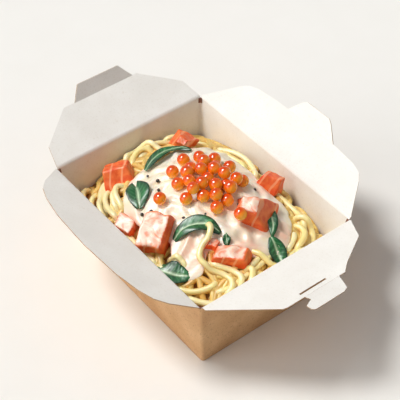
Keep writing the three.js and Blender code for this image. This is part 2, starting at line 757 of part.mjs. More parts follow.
// Everything in the carton, laid in order from the bottom up
function buildFood() {
  const map = new HeightMap(coreTop);
  const lines = [...wallStrands(), ...UNDER_STRANDS, ...UPPER_STRANDS].map((places) =>
    layStrand(map, places));

  const ground = new HeightMap((x, y) =>
    Math.max(map.mean(x, y, 4) + SAUCE_THICKNESS, heapTop(x, y)));
  const sauceTop = (x, y) => ground.mean(x, y, 1.5);
  const sauceBody = sauceBlanket(sauceTop, 0);
  sauceEdge(96).forEach((edge) => {
    for (let share = 0; share <= 1; share += 0.04) {
      const x = THREE.MathUtils.lerp(SAUCE_CENTRE[0], edge.x, share);
      const y = THREE.MathUtils.lerp(SAUCE_CENTRE[1], edge.y, share);
      map.layFlat(x, y, sauceTop(x, y), 1.5);
    }
  });

  const salmon = SALMON.map((piece) => salmonPiece(piece));
  const salmonRoom = SALMON.map((piece) => salmonPiece(piece, GAP));

  const grids = LEAVES.map((leaf) => {
    const grid = leafGrid(leaf, map);
    grid.points.flat().forEach(({ x, y, z }) => map.layFlat(x, y, z + LEAF_THICKNESS, 1.6));
    return grid;
  });
  const leaves = grids.map(({ points, rows }) =>
    largestBody(cutAway(leafSolid(points, rows, 0), salmonRoom)));
  const leafRoom = grids.map(({ points, rows }) => leafSolid(points, rows, GAP));

  CROSSING_STRANDS.forEach((places) => lines.push(layStrand(map, places, CROSSING_LIFT)));

  const pile = roePile((x, y) => sauceTop(x, y) + GAP);
  const apart = ROE_APART.map(([x, y, lift]) => [x, y, map.rest(x, y, ROE_RADIUS) + GAP + lift]);
  const beadsApart = apart.map((place) => bead(...place, ROE_RADIUS));
  const beadRoom = apart.map((place) => bead(...place, ROE_RADIUS + GAP));

  const specks = SPECKS.map(([x, y]) => speck(x, y, sauceTop(x, y) + 0.1));
  const toppingRoom = [...salmonRoom, ...leafRoom, ...beadRoom];
  const sauce = largestBody(union([cutAway(sauceBody, toppingRoom), ...specks]));

  const inside = cartonBlock(CORE_FLOOR, HEIGHT + 30, BOARD + GAP);
  const heap = union([buildCore(), ...lines.map(noodle)]).intersect(inside);
  const noodles = largestBody(cutAway(heap, [sauceBlanket(sauceTop, GAP), ...toppingRoom]));
  return { noodles, sauce, salmon, leaves, pile, beadsApart };
}

function named(name, solid, finish) {
  const mesh = new THREE.Mesh(geometryOf(solid), finish);
  mesh.name = name;
  return mesh;
}

const box = new THREE.Group();
box.add(named("tray", buildTray(), material(COLOURS.kraft, 0.85)));

FLAPS.forEach((flap) => {
  const hinge = new THREE.Group();
  hinge.rotation.z = THREE.MathUtils.degToRad(flap.turn);
  const mesh = named(flap.name, buildFlap(flap), material(COLOURS.board, 0.8));
  mesh.position.set(0, flap.hinge, HEIGHT);
  mesh.rotation.x = THREE.MathUtils.degToRad(flap.tilt);
  hinge.add(mesh);
  box.add(hinge);
});

const food = buildFood();
box.add(named("noodles", food.noodles, material(COLOURS.noodle, 0.45)));
box.add(named("sauce", food.sauce, material(COLOURS.sauce, 0.35)));
food.salmon.forEach((solid, i) => {
  box.add(named(`salmon_${i + 1}`, solid, material(COLOURS.salmon, 0.5)));
});
food.leaves.forEach((solid, i) => {
  box.add(named(`leaf_${i + 1}`, solid, material(COLOURS.leaf, 0.4)));
});
box.add(named("roe_pile", food.pile, material(COLOURS.roe, 0.15)));
food.beadsApart.forEach((solid, i) => {
  box.add(named(`roe_apart_${i + 1}`, solid, material(COLOURS.roe, 0.15)));
});

export default box;
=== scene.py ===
# A takeaway noodle box: kraft and white board, thick noodles, cream sauce, salmon, basil and roe.
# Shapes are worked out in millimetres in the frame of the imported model, and turned into metres
# when each mesh is made. A height map over the carton says how high each new thing lies.
import math
from itertools import product

import bpy
import numpy as np
from mathutils import Euler, Matrix, Vector, noise
from mathutils.geometry import tessellate_polygon


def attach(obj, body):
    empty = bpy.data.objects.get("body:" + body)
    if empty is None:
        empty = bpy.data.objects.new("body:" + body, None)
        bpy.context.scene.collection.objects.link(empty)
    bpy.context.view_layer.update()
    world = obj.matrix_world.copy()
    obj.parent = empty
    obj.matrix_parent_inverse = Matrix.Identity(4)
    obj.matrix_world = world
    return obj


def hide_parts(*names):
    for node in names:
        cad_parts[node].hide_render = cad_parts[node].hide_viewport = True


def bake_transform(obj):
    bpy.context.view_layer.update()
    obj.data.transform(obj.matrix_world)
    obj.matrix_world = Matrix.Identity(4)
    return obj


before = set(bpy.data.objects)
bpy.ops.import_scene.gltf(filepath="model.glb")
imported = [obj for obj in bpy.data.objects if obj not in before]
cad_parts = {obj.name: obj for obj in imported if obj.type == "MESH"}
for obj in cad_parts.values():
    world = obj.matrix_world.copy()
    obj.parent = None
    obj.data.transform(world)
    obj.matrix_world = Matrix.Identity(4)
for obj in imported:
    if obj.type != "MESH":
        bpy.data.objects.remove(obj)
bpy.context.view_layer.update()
scene = bpy.context.scene

MM = 0.001
FULL_TURN = 2 * math.pi

# Carton
RIM_LENGTH = 130
RIM_WIDTH = 102
HEIGHT = 54
WALL_TAPER = 7
BOARD = 0.6
CORNER_RADIUS = 1.6

# Flaps: how far from the fold their board starts, half its length there, and how far it reaches
FLAP_ROOT = 0.8
WALL_TOP = HEIGHT - FLAP_ROOT
LONG_HALF = 64
SHORT_HALF = 50
LONG_REACH = 27
SHORT_REACH = 31

# Food
GAP = 0.35
HEAP_TOP = 60
HEAP_DROP = 17
HEAP_HALF_LENGTH = 61
HEAP_HALF_WIDTH = 47
HEAP_SQUARENESS = 2.3
HEAP_STEEPNESS = 1.9
CORE_DEPTH = 4
CORE_FLOOR = BOARD + GAP
NOODLE_RADIUS = 1.7
SAUCE_THICKNESS = 1
SAUCE_CENTRE = np.array((2, 0))
ROE_RADIUS = 3.6
LEAF_THICKNESS = 0.7

LIGHT_FROM = Vector((-0.46, -0.46, 1.15)).normalized()
SIDE_LIGHT_FROM = Vector((-0.25, -1.0, 0.4)).normalized()


# Meshes, pieces and looks
def make_mesh(name, points, faces, looks, face_looks=None, smooth=True, **attributes):
    mesh = bpy.data.meshes.new(name)
    mesh.from_pydata([tuple(float(v) * MM for v in p) for p in points], [], faces)
    for look in looks:
        mesh.materials.append(look)
    if face_looks:
        mesh.polygons.foreach_set("material_index", face_looks)
    mesh.polygons.foreach_set("use_smooth", [smooth] * len(faces))
    for key, values in attributes.items():
        mesh.attributes.new(key, "FLOAT", "POINT").data.foreach_set("value", values)
    mesh.update()
    piece = bpy.data.objects.new(name, mesh)
    scene.collection.objects.link(piece)
    return piece


def settle(piece, slot, *nodes, body="box"):
    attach(piece, body)
    if nodes:
        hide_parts(*nodes)


def add_part(points, faces, more, more_faces):
    """Add the points and faces of one part to those of a mesh."""
    faces += [tuple(i + len(points) for i in face) for face in more_faces]
    points += more


def ring_pairs(start, count):
    """Neighbours on a closed ring of points, by index, where the first point's index is start."""
    return [(start + i, start + (i + 1) % count) for i in range(count)]


def rings_mesh(rings):
    """Points and faces of a closed body through rings of equally many points."""
    count = len(rings[0])
    points = [point for ring in rings for point in ring]
    last = len(points) - count
    faces = [(a, b, b + count, a + count)
             for start in range(0, last, count) for a, b in ring_pairs(start, count)]
    return points, faces + [tuple(range(count - 1, -1, -1)), tuple(range(last, last + count))]


def srgb(red, green, blue):
    def linear(value):
        share = value / 255
        return share / 12.92 if share <= 0.04045 else ((share + 0.055) / 1.055) ** 2.4

    return (linear(red), linear(green), linear(blue), 1.0)


class Look:
    """A node material: noise, bands and blends feeding one shader."""

    def __init__(self, name, roughness, **sockets):
        self.material = bpy.data.materials.new(name)
        self.material.use_nodes = True
        self.tree = self.material.node_tree
        self.shader = self.tree.nodes["Principled BSDF"]
        self.feed(self.shader, {"Roughness": roughness})
        self.feed(self.shader, {key.replace("_", " "): value for key, value in sockets.items()})
        self.coords = self.node("TexCoord", "Object", {})

    def feed(self, node, inputs):
        for key, value in inputs.items():
            if isinstance(value, bpy.types.NodeSocket):
                self.tree.links.new(value, node.inputs[key])
            else:
                node.inputs[key].default_value = value

    def node(self, kind, output, inputs, **settings):
        made = self.tree.nodes.new("ShaderNode" + kind)
        for key, value in settings.items():
            setattr(made, key, value)
        self.feed(made, inputs)
        return made.outputs[output]

    def noise(self, scale, detail=3, distortion=0):
        return self.node("TexNoise", "Fac", {
            "Vector": self.coords, "Scale": scale, "Detail": detail, "Distortion": distortion})

    def bands(self, scale, detail, detail_scale, distortion):
        return self.node("TexWave", "Fac", {
            "Vector": self.coords, "Scale": scale, "Detail": detail,
            "Detail Scale": detail_scale, "Distortion": distortion})

    def attribute(self, name):
        return self.node("Attribute", "Fac", {}, attribute_name=name)

    def between(self, value, low, high, to_low=0, to_high=1):
        return self.node("MapRange", "Result", {
            "Value": value, "From Min": low, "From Max": high, "To Min": to_low,
            "To Max": to_high}, interpolation_type="SMOOTHSTEP")

    def times(self, a, b):
        return self.node("Math", 0, {0: a, 1: b}, operation="MULTIPLY")

    def plus(self, a, b):
        return self.node("Math", 0, {0: a, 1: b}, operation="ADD")

    def mix(self, share, a, b):
        return self.node("Mix", 2, {"Factor": share, 6: a, 7: b}, data_type="RGBA")

    def facing(self, direction):
        """How much the surface faces a fixed direction, from -1 to 1."""
        normal = self.node("NewGeometry", "Normal", {})
        return self.node("VectorMath", "Value", {0: normal, 1: direction},
                         operation="DOT_PRODUCT")

    def colour(self, value):
        self.feed(self.shader, {"Base Color": value})

    def relief(self, height, depth, strength=1):
        bump = self.node("Bump", "Normal", {
            "Height": height, "Distance": depth * MM, "Strength": strength})
        self.feed(self.shader, {"Normal": bump})


def board_look(name, pale, dark, fleck, roughness):
    look = Look(name, roughness)
    fibre = look.noise(950, detail=5, distortion=0.8)
    cloud = look.noise(60, detail=4)
    body = look.mix(look.between(cloud, 0.25, 0.75), pale, dark)
    look.colour(look.mix(look.between(fibre, 0.52, 0.74, 0, 0.6), body, fleck))
    look.relief(fibre, depth=0.05, strength=0.5)
    return look.material


def noodle_look(name, pale, deep, roughness):
    look = Look(name, roughness, Subsurface_Weight=0.2, Subsurface_Scale=0.0025,
                Subsurface_Radius=(1, 0.7, 0.25), Coat_Weight=0.15, Coat_Roughness=0.25)
    grain = look.noise(420, detail=2)
    tone = look.plus(look.attribute("tone"), look.times(look.noise(60, detail=2), 0.5))
    strand = look.mix(look.between(tone, 0.25, 1.15), pale, deep)
    # Painted shade: where a strand faces down it turns darker golden.
    under = look.between(look.facing((0, 0, 1)), -0.3, 0.6, 0.55, 0)
    look.colour(look.mix(under, strand, srgb(226, 160, 50)))
    look.relief(grain, depth=0.04, strength=0.4)
    return look.material


WHITE_BOARD = board_look(
    "white_board", srgb(243, 241, 235), srgb(236, 233, 226), srgb(226, 221, 210), 0.72)
KRAFT_BOARD = board_look(
    "kraft_board", srgb(220, 178, 130), srgb(202, 156, 108), srgb(154, 108, 70), 0.85)
BOARD_EDGE = board_look(
    "board_edge", srgb(190, 158, 126), srgb(172, 138, 104), srgb(140, 106, 78), 0.85)
# The corner webs' dark brown is painted shade in the folds of the corners.
WEB_PAINTED_SHADE = board_look(
    "web_painted_shade", srgb(132, 88, 66), srgb(112, 70, 54), srgb(80, 48, 40), 0.85)
NOODLE = noodle_look("noodle", srgb(255, 244, 190), srgb(250, 226, 142), 0.4)
# The loose layer is coloured darker golden than the strands on top, as painted shade in the gaps
# between them.
NOODLE_PAINTED_SHADE = noodle_look("noodle_painted_shade", srgb(244, 210, 122), srgb(224, 170, 78), 0.5)


# Painted shade: the core stands for the noodles deep in the heap, coloured dark brown-gold for the
# shade among them.
def core_shade_look():
    look = Look("noodle_core", 0.6)
    look.colour(look.mix(look.noise(120), srgb(140, 86, 24), srgb(196, 138, 52)))
    look.relief(look.noise(200), depth=0.5)
    return look.material


def sauce_look():
    look = Look("cream_sauce", 0.42, Subsurface_Weight=0.2, Subsurface_Scale=0.003,
                Subsurface_Radius=(1, 0.65, 0.45), Coat_Weight=0.12, Coat_Roughness=0.25)
    cloud = look.between(look.noise(55, distortion=0.6), 0.35, 0.7)
    pool = look.between(look.noise(95, distortion=1.5), 0.55, 0.72, 0, 0.5)
    streak = look.between(look.noise(150, distortion=1.2), 0.2, 0.75, 0.45, 1)
    pale = look.mix(cloud, srgb(254, 245, 226), srgb(251, 235, 206))
    cream = look.mix(pool, pale, srgb(248, 224, 160))
    # Painted shade: the sauce turns pink in streaks near the listed places.
    blush = look.times(look.attribute("blush"), streak)
    look.colour(look.mix(blush, cream, srgb(247, 200, 176)))
    look.relief(look.noise(170, distortion=0.8), depth=0.2, strength=0.5)
    return look.material


def salmon_look():
    look = Look("salmon", 0.48, Subsurface_Weight=0.1, Subsurface_Scale=0.0015,
                Subsurface_Radius=(1, 0.3, 0.12), Coat_Weight=0.12, Coat_Roughness=0.25)
    muscle = look.bands(42, detail=1.5, detail_scale=0.9, distortion=6)
    fat = look.between(muscle, 0.9, 0.99)
    cloud = look.noise(190, distortion=1)
    flesh = look.mix(look.between(cloud, 0.3, 0.7), srgb(236, 84, 24), srgb(250, 126, 56))
    lined = look.mix(look.times(fat, 0.6), flesh, srgb(255, 190, 142))
    patches = look.noise(220, detail=4, distortion=2.5)
    smear = look.plus(look.attribute("cream"), look.times(patches, 0.9))
    blotch = look.between(look.noise(105, detail=4, distortion=2), 0.42, 0.6)
    veiled = look.mix(blotch, srgb(254, 226, 204), srgb(248, 158, 122))
    look.colour(look.mix(look.between(smear, 0.78, 1.12, 0, 0.9), lined, veiled))
    look.relief(cloud, depth=0.25, strength=0.5)
    return look.material


def leaf_look():
    look = Look("basil", 0.42, Coat_Weight=0.12, Coat_Roughness=0.25)
    cloud = look.between(look.noise(90), 0.3, 0.75)
    # Painted highlight: lighter green streaks stand for the gloss of the blades. Painted shade: the
    # blades darken towards their edges.
    streak = look.between(look.noise(60, detail=4, distortion=3), 0.56, 0.7, 0, 0.7)
    shade = look.between(look.attribute("side"), 0.75, 1, 0, 0.75)
    vein = look.attribute("vein")
    green = look.mix(cloud, srgb(12, 72, 38), srgb(32, 118, 62))
    blade = look.mix(streak, green, srgb(72, 158, 92))
    shaded = look.mix(shade, blade, srgb(6, 40, 24))
    veined = look.mix(look.times(vein, 0.55), shaded, srgb(104, 176, 112))
    look.colour(look.mix(look.attribute("rib"), veined, srgb(206, 230, 190)))
    bumps = look.plus(look.times(vein, 0.6), look.noise(300))
    look.relief(bumps, depth=0.2, strength=0.7)
    return look.material


# The side of each bead where light that has passed through it gathers, painted there as a bright
# glow
GLOW_TOWARDS = Vector((0.62, 0.1, -0.4)).normalized()


def roe_look():
    look = Look("roe", 0.18, Coat_Weight=1, Coat_Roughness=0.03, Specular_IOR_Level=0.15)
    # Painted light: each bead gets a painted bright orange glow on one side, and a painted deeper
    # red on the side that faces the key light.
    painted_glow = look.between(look.facing(GLOW_TOWARDS), -0.35, 0.95)
    dark = look.between(look.facing(LIGHT_FROM), 0.35, 1, 0, 0.7)
    body = look.mix(look.noise(160, detail=2), srgb(244, 96, 4), srgb(254, 128, 12))
    deep = look.mix(dark, body, srgb(206, 34, 2))
    look.colour(look.mix(painted_glow, deep, srgb(255, 188, 44)))
    return look.material


def pepper_look():
    look = Look("pepper", 0.55)
    look.colour(look.mix(look.noise(500, detail=2), srgb(26, 20, 20), srgb(64, 48, 42)))
    look.relief(look.noise(900, detail=2), depth=0.2)
    return look.material


NOODLE_CORE_SHADE = core_shade_look()
SAUCE = sauce_look()
SALMON_FLESH = salmon_look()
LEAF = leaf_look()
ROE = roe_look()
PEPPER = pepper_look()


# Curves: a smooth line through points, spaced evenly
CURVE_SAMPLES = 201
CORNER_POWER = 0.25
TINY = 1e-4


class Curve:
    def __init__(self, points, closed=False):
        points = np.array(points, dtype=float)
        before = points[-1:] if closed else 2 * points[:1] - points[1:2]
        after = points[:2] if closed else 2 * points[-1:] - points[-2:-1]
        self.corners = np.vstack([before, points, after])
        self.spans = len(self.corners) - 3
        self.table = np.linspace(0, 1, CURVE_SAMPLES)
        self.lengths = along_line(self.point(self.table))
        self.length = self.lengths[-1]

    def point(self, shares):
        places = np.clip(shares, 0, 1) * self.spans
        starts = np.minimum(np.floor(places).astype(int), self.spans - 1)
        weight = (places - starts)[:, None]
        near = [self.corners[starts + k] for k in range(4)]
        gaps = [np.maximum(((b - a) ** 2).sum(1) ** CORNER_POWER, TINY)[:, None]
                for a, b in zip(near, near[1:])]
        slopes = [gaps[1] * ((b - a) / gap - (c - a) / (gap + next_gap) + (c - b) / next_gap)
                  for a, b, c, gap, next_gap in zip(near, near[1:], near[2:], gaps, gaps[1:])]
        start, end = near[1:3]
        bend = -3 * start + 3 * end - 2 * slopes[0] - slopes[1]
        twist = 2 * start - 2 * end + slopes[0] + slopes[1]
        return start + slopes[0] * weight + bend * weight ** 2 + twist * weight ** 3

    def at(self, shares):
        shares = np.atleast_1d(shares)
        return self.point(np.interp(shares * self.length, self.lengths, self.table))

    def spaced(self, count):
        return self.at(np.linspace(0, 1, count + 1))

    def tangent(self, share):
        place = np.interp(share * self.length, self.lengths, self.table)
        ends = self.point([max(0, place - TINY), min(1, place + TINY)])
        step = ends[1] - ends[0]
        return step / np.linalg.norm(step)


def along_line(points):
    """How far along a line each of its points lies."""
    steps = np.linalg.norm(np.diff(np.array(points), axis=0), axis=1)
    return np.concatenate([[0], np.cumsum(steps)])


def nearest(value):
    """The nearest whole number, with halves taken upwards."""
    return math.floor(value + 0.5)


def step_on(x, y, heading, length):
    return x + length * math.cos(heading), y + length * math.sin(heading)


def smoothstep(value, low, high):
    share = min(max((value - low) / (high - low), 0), 1)
    return share * share * (3 - 2 * share)


def quarter_round(share):
    """Rises from 0 to 1 as a quarter of a circle does, and stays at 1."""
    return math.sqrt(max(0.0, 1 - (1 - min(share, 1)) ** 2))


# The carton's outline and the heap's surfaces
def wall_half(z):
    inset = WALL_TAPER * (1 - z / HEIGHT)
    return RIM_LENGTH / 2 - inset, RIM_WIDTH / 2 - inset


def heap_top(x, y):
    along = (np.abs(x) / HEAP_HALF_LENGTH) ** HEAP_SQUARENESS
    across = (np.abs(y) / HEAP_HALF_WIDTH) ** HEAP_SQUARENESS
    return HEAP_TOP - HEAP_DROP * ((along + across) ** (1 / HEAP_SQUARENESS)) ** HEAP_STEEPNESS


def core_top(x, y):
    return heap_top(x, y) - CORE_DEPTH


def clear_of_wall(x, y, radius=NOODLE_RADIUS):
    half_x, half_y = wall_half(float(heap_top(x, y)))
    margin = BOARD + GAP + radius
    return (min(max(x, margin - half_x), half_x - margin),
            min(max(y, margin - half_y), half_y - margin))


class HeightMap:
    """Heights over the carton, on which each thing is laid in turn."""

    def __init__(self, surface):
        columns = np.arange(RIM_LENGTH + 1) - RIM_LENGTH / 2
        rows = np.arange(RIM_WIDTH + 1) - RIM_WIDTH / 2
        self.x, self.y = np.meshgrid(columns, rows)
        self.heights = surface(self.x, self.y)

    def window(self, x, y, radius):
        """The heights around a place, which of them are in reach, and a ball's height there."""
        reach = math.ceil(radius)
        column = nearest(x + RIM_LENGTH / 2)
        row = nearest(y + RIM_WIDTH / 2)
        place = (slice(max(0, row - reach), max(0, row + reach + 1)),
                 slice(max(0, column - reach), max(0, column + reach + 1)))
        squared = (self.x[place] - x) ** 2 + (self.y[place] - y) ** 2
        ball = np.sqrt(np.maximum(0, radius * radius - squared))
        return self.heights[place], squared <= radius * radius, ball

    def rest(self, x, y, radius):
        here, inside, ball = self.window(x, y, radius)
        return (here + ball)[inside].max()

    def lay(self, x, y, z, radius):
        here, inside, ball = self.window(x, y, radius)
        here[inside] = np.maximum(here, z + ball)[inside]

    def lay_flat(self, x, y, z, radius):
        here, inside, _ = self.window(x, y, radius)
        here[inside] = np.maximum(here, z)[inside]

    def mean(self, x, y, radius):
        here, inside, _ = self.window(x, y, radius)
        return here[inside].mean()


# Noodle strands, each a smooth line through a few places in plan
STRAND_STEP = 2.5
FEWEST_STEPS = 4
SMOOTHING = 2
STRAND_SINK = 0.5
STRAND_GIVE = 0.6
STRAND_SAMPLES = 3
END_LENGTH = 5
END_DIP = 2.6
CROSSING_LIFT = 0.15

UNDER_STRANDS = [
    [(-57, -32), (-58, -38), (-52, -43), (-44, -45)],
    [(-48, -34), (-46, -41), (-38, -45), (-30, -46)],
    [(-53, -13), (-58, -8), (-60, -2), (-58, 5), (-52, 8), (-44, 10)],
    [(-46, -13), (-52, -8), (-55, -2), (-53, 3), (-47, 5)],
    [(-34, 34), (-24, 41), (-12, 43), (-2, 40), (6, 34)],
    [(-32, 30), (-24, 35), (-12, 38), (-3, 35)],
    [(36, 33), (42, 38), (48, 39), (54, 34), (57, 26), (58, 16)],
    [(39, 29), (45, 33), (50, 32), (54, 26), (56, 19)],
    [(42, 26), (47, 27), (51, 22), (54, 14)],
    [(16, -44), (23, -43), (29, -44)],
    [(20, -28), (22, -32), (25, -36), (27, -40)],
    [(20, -37), (28, -34), (35, -35)],
    [(47, 3), (50, 0), (52, -6), (53, -12)],
    [(57, 4), (59, -1), (57, -7), (53, -10)],
    [(40, -44), (48, -40), (55, -34), (59, -25), (60, -14), (59, -4)],
]

UPPER_STRANDS = [
    [(-50, -24), (-43, -34), (-37, -42), (-28, -45), (-18, -46), (-9, -46)],
    [(-42, -29), (-39, -36), (-33, -40), (-24, -42), (-17, -41)],
    [(-39, -27), (-36, -33), (-30, -37), (-22, -38)],
    [(-33, -24), (-38, -28), (-34, -33), (-27, -35), (-20, -36)],
    [(41, -4), (47, -1), (52, 1), (57, 3), (60, 9)],
    [(50, -12), (55, -9), (59, -13), (60, -20), (57, -27)],
    [(31, -44), (37, -43), (43, -39), (47, -33), (48, -28), (44, -24)],
]

CROSSING_STRANDS = [
    [(20, -14), (26, -14), (30, -18), (31, -23), (35, -28),
     (41, -27), (47, -22), (53, -21), (57, -25), (55, -31)],
    [(37, -25), (43, -22), (49, -17), (55, -16), (59, -21)],
]

# Loops of noodle along the walls: start and end as shares of their reach, and sweep in degrees
LOOP_COUNT = 9
LOOP_SEED = 7
LOOP_STEPS = 4
LOOP_REACH = (60, 46)
LOOP_ROUNDNESS = 0.62
LOOP_SHIFT = 14
LOOP_SWEEP = 42
LOOP_EXTRA_SWEEP = 26
LOOP_START = 0.96
LOOP_END = 0.74
LOOP_EXTRA_END = 0.16

# They lie lower in the back corner to the left, which has soft limits in plan
BACK_SINK = 4.5
BACK_FROM_Y = (22, 36)
BACK_TO_X = (-8, 12)
BACK_FROM_X = (-62, -50)

STREAM_FACTOR = 1664525
STREAM_STEP = 1013904223
STREAM_SIZE = 2 ** 32


def random_stream(state):
    while True:
        state = (state * STREAM_FACTOR + STREAM_STEP) % STREAM_SIZE
        yield state / STREAM_SIZE


def bend_round(value):
    return math.copysign(abs(value) ** LOOP_ROUNDNESS, value)


def wall_strands():
    random = random_stream(LOOP_SEED)
    strands = []
    for k in range(LOOP_COUNT):
        start = k / LOOP_COUNT * 360 + LOOP_SHIFT * next(random)
        side = -1 if next(random) < 0.5 else 1
        sweep = side * (LOOP_SWEEP + LOOP_EXTRA_SWEEP * next(random))
        end = LOOP_END + LOOP_EXTRA_END * next(random)
        points = []
        for along in np.linspace(0, 1, LOOP_STEPS + 1):
            angle = math.radians(start + sweep * along)
            reach = LOOP_START + (end - LOOP_START) * along ** 2
            points.append((LOOP_REACH[0] * reach * bend_round(math.cos(angle)),
                           LOOP_REACH[1] * reach * bend_round(math.sin(angle))))
        strands.append(points)
    return strands


def drape(heights, places, lift, dip=END_DIP):
    """The line of a strand that lies on what is below it and dips at both ends."""
    plan = Curve(places)
    count = max(FEWEST_STEPS, nearest(plan.length / STRAND_STEP))
    flat = [clear_of_wall(x, y) for x, y in plan.spaced(count)]
    rests = np.array([heights.rest(x, y, NOODLE_RADIUS) + lift for x, y in flat])
    order = np.arange(len(flat))
    line = []
    for i, (x, y) in enumerate(flat):
        weights = np.exp(-(((i - order) / SMOOTHING) ** 2))
        level = max((weights * rests).sum() / weights.sum(), rests[i] - STRAND_GIVE)
        along = min(i, count - i) * plan.length / count
        line.append((x, y, level - dip * (1 - smoothstep(along, 0, END_LENGTH))))
    return line


def lay_strand(heights, places, lift=-STRAND_SINK):
    line = drape(heights, places, lift)
    for x, y, z in Curve(line).spaced(len(line) * STRAND_SAMPLES):
        heights.lay(x, y, z, NOODLE_RADIUS)
    return line


# The rounded ends of a strand: their length in radii, where an extra ring lies, and the tip
CAP_LENGTH = 0.8
CAP_MIDDLE = 0.35
TIP_SIZE = 0.08
FEWEST_RINGS = 6

# How thick strands are next to the noodle's radius, and how deep their tone gets
STRAND_SIZES = (0.96, 1.06)
DEEPEST_TONE = 0.75


def tube(line, radius, step, sides):
    """Points and faces of a round strand with rounded ends along a line."""
    curve = Curve(line)
    count = max(FEWEST_RINGS, math.ceil(curve.length / step))
    cap = CAP_LENGTH * radius / curve.length
    near_end = [0, CAP_MIDDLE * cap, cap]
    far_end = [1 - share for share in near_end]
    shares = np.sort(np.concatenate([np.linspace(0, 1, count + 1)[1:-1], near_end, far_end]))
    centres = curve.at(shares)
    rings = []
    across = Vector((0, 0, 1))
    for i, centre in enumerate(centres):
        ahead = centres[min(i + 1, len(centres) - 1)] - centres[max(i - 1, 0)]
        heading = Vector(ahead).normalized()
        across = (across - heading * across.dot(heading)).normalized()
        other = heading.cross(across)
        from_end = min(shares[i], 1 - shares[i]) / cap
        size = radius * (quarter_round(from_end) * (1 - TIP_SIZE) + TIP_SIZE)
        ring = []
        for side in range(sides):
            angle = side / sides * FULL_TURN
            offset = across * math.cos(angle) + other * math.sin(angle)
            ring.append(tuple(centre + np.array(offset) * size))
        rings.append(ring)
    return rings_mesh(rings)


def strands_piece(name, lines, look, seed, sides, step):
    random = np.random.RandomState(seed)
    points, faces, tones = [], [], []
    for line in lines:
        radius = NOODLE_RADIUS * random.uniform(*STRAND_SIZES)
        more, more_faces = tube(line, radius, step, sides)
        add_part(points, faces, more, more_faces)
        tones += [random.uniform(0, DEEPEST_TONE)] * len(more)
    return make_mesh(name, points, faces, [look], tone=tones)


# The sauce: its reach in sixteen directions from its centre, on which leaves and beads are laid,
# and the finer outline of what shows
SAUCE_REACH = [42, 54, 45, 36, 36, 34, 39, 42, 43, 40, 42, 42, 32, 30, 49, 38]
SAUCE_OUTLINE = [
    (14.3, -32.5), (23.6, -37.5), (29.3, -38.2), (37.2, -38.3), (40.5, -31), (33.8, -20.5),
    (38.5, -14.5), (41, -7.4), (49.4, -3), (53, 5.9), (53.2, 16.6), (46, 26.5), (37, 32.5),
    (27.8, 34.9), (14.1, 33.6), (2.2, 35.7), (-15.2, 36.2), (-26.1, 33.3), (-34.4, 25.7),
    (-38.5, 12.4), (-36.5, -1), (-37, -12), (-35.2, -20), (-30.4, -29.3), (-25.1, -34.2),
    (-16.8, -38.1), (-8, -37.5), (3, -36),
]

# Salmon pieces: place in plan, centre height above the heap, size, turn, pitch and roll in
# degrees, how much the top narrows, which way the side veiled in sauce faces, how much of the
# piece it covers, and how far the top slants towards X and Y and the sides towards X
SALMON = [
    ((-43, 21), 1.4, (15, 11.5, 13), 20, 8, 42, 0.62, (0, 0, 1), -0.6, (0.25, 0, 0.15)),
    ((-46, -22), -0.8, (19, 16, 12), 62, -8, -24, 0.25, (0.6, 0.6, 0.4), -0.35, (-0.15, 0.1, 0.12)),
    ((-12.5, -41), -2.5, (13, 10, 11), 12, 0, 20, 0.15, (0, 0, 1), 0.2, (0.1, 0, -0.2)),
    ((6.8, -34.6), -1.1, (15.5, 21, 18), 40, -4, 28, 0.06, (-0.15, -0.2, 1), 0,
     (-0.12, 0.05, 0.16)),
    ((14, 38), 2, (15, 10, 11), 30, 10, -20, 0.3, (0, 0, 1), -0.8, (0.2, 0, 0.15)),
    ((30, 11.2), 2.0, (24.5, 22, 17), 44, 0, 24, 0.6, (-0.2, 0.1, 1), 0.2, (-0.1, 0.12, 0.14)),
    ((32.5, -17.5), -1.5, (7, 6, 6), 40, 10, 10, 0.2, (0, 0, 1), -0.4, (0.1, 0, 0.2)),
    ((43.6, -13.5), -0.2, (20, 10, 8.5), 46, 0, 12, 0.15, (-0.5, 0.4, 1), -0.15, (-0.1, 0, 0.22)),
]

# Leaves: a midrib through places in plan, the width, how much both halves fold up, how far the
# middle arches clear of what lies under it, and how far the blades reach on beyond the midrib
LEAVES = [
    ([(-33, -13), (-37, -4), (-39, 6), (-37, 14), (-30, 17)], 8, 0.25, 1.5, 0),
    ([(-12.5, -32), (-19, -28), (-26, -24.5)], 13, 0.35, 1.2, 5),
    ([(16, -31.5), (16.6, -25.5), (18.8, -19), (23.5, -13.5), (31, -11)], 10, 0.2, 0.9, 0),
    ([(19, -46), (25, -44.5), (31, -41), (37, -36)], 12, 0.15, 2.6, 0),
    ([(26, 23), (33.6, 20.6), (40.6, 17.2), (45.6, 12.4)], 6.5, 0.2, 1.4, 0),
    ([(46, 11), (51, 10.5), (56, 9.5), (60, 8.5)], 10, 0.25, 0.4, 0),
    ([(33, -9), (38, -12)], 4.5, 0.1, 0.2, 0),
]
LEAF_SWEEP_POWER = 1.3
LEAF_TIP = 0.04
LEAF_FULLNESS = 0.75
LEAF_WAVE = 0.35
LEAF_WAVE_ALONG = 9
LEAF_WAVE_ACROSS = 3
RIB_SPREAD = 4.5
BLADE_SPREAD = 3.5
LEAF_ROWS = 44
LEAF_COLUMNS = 16


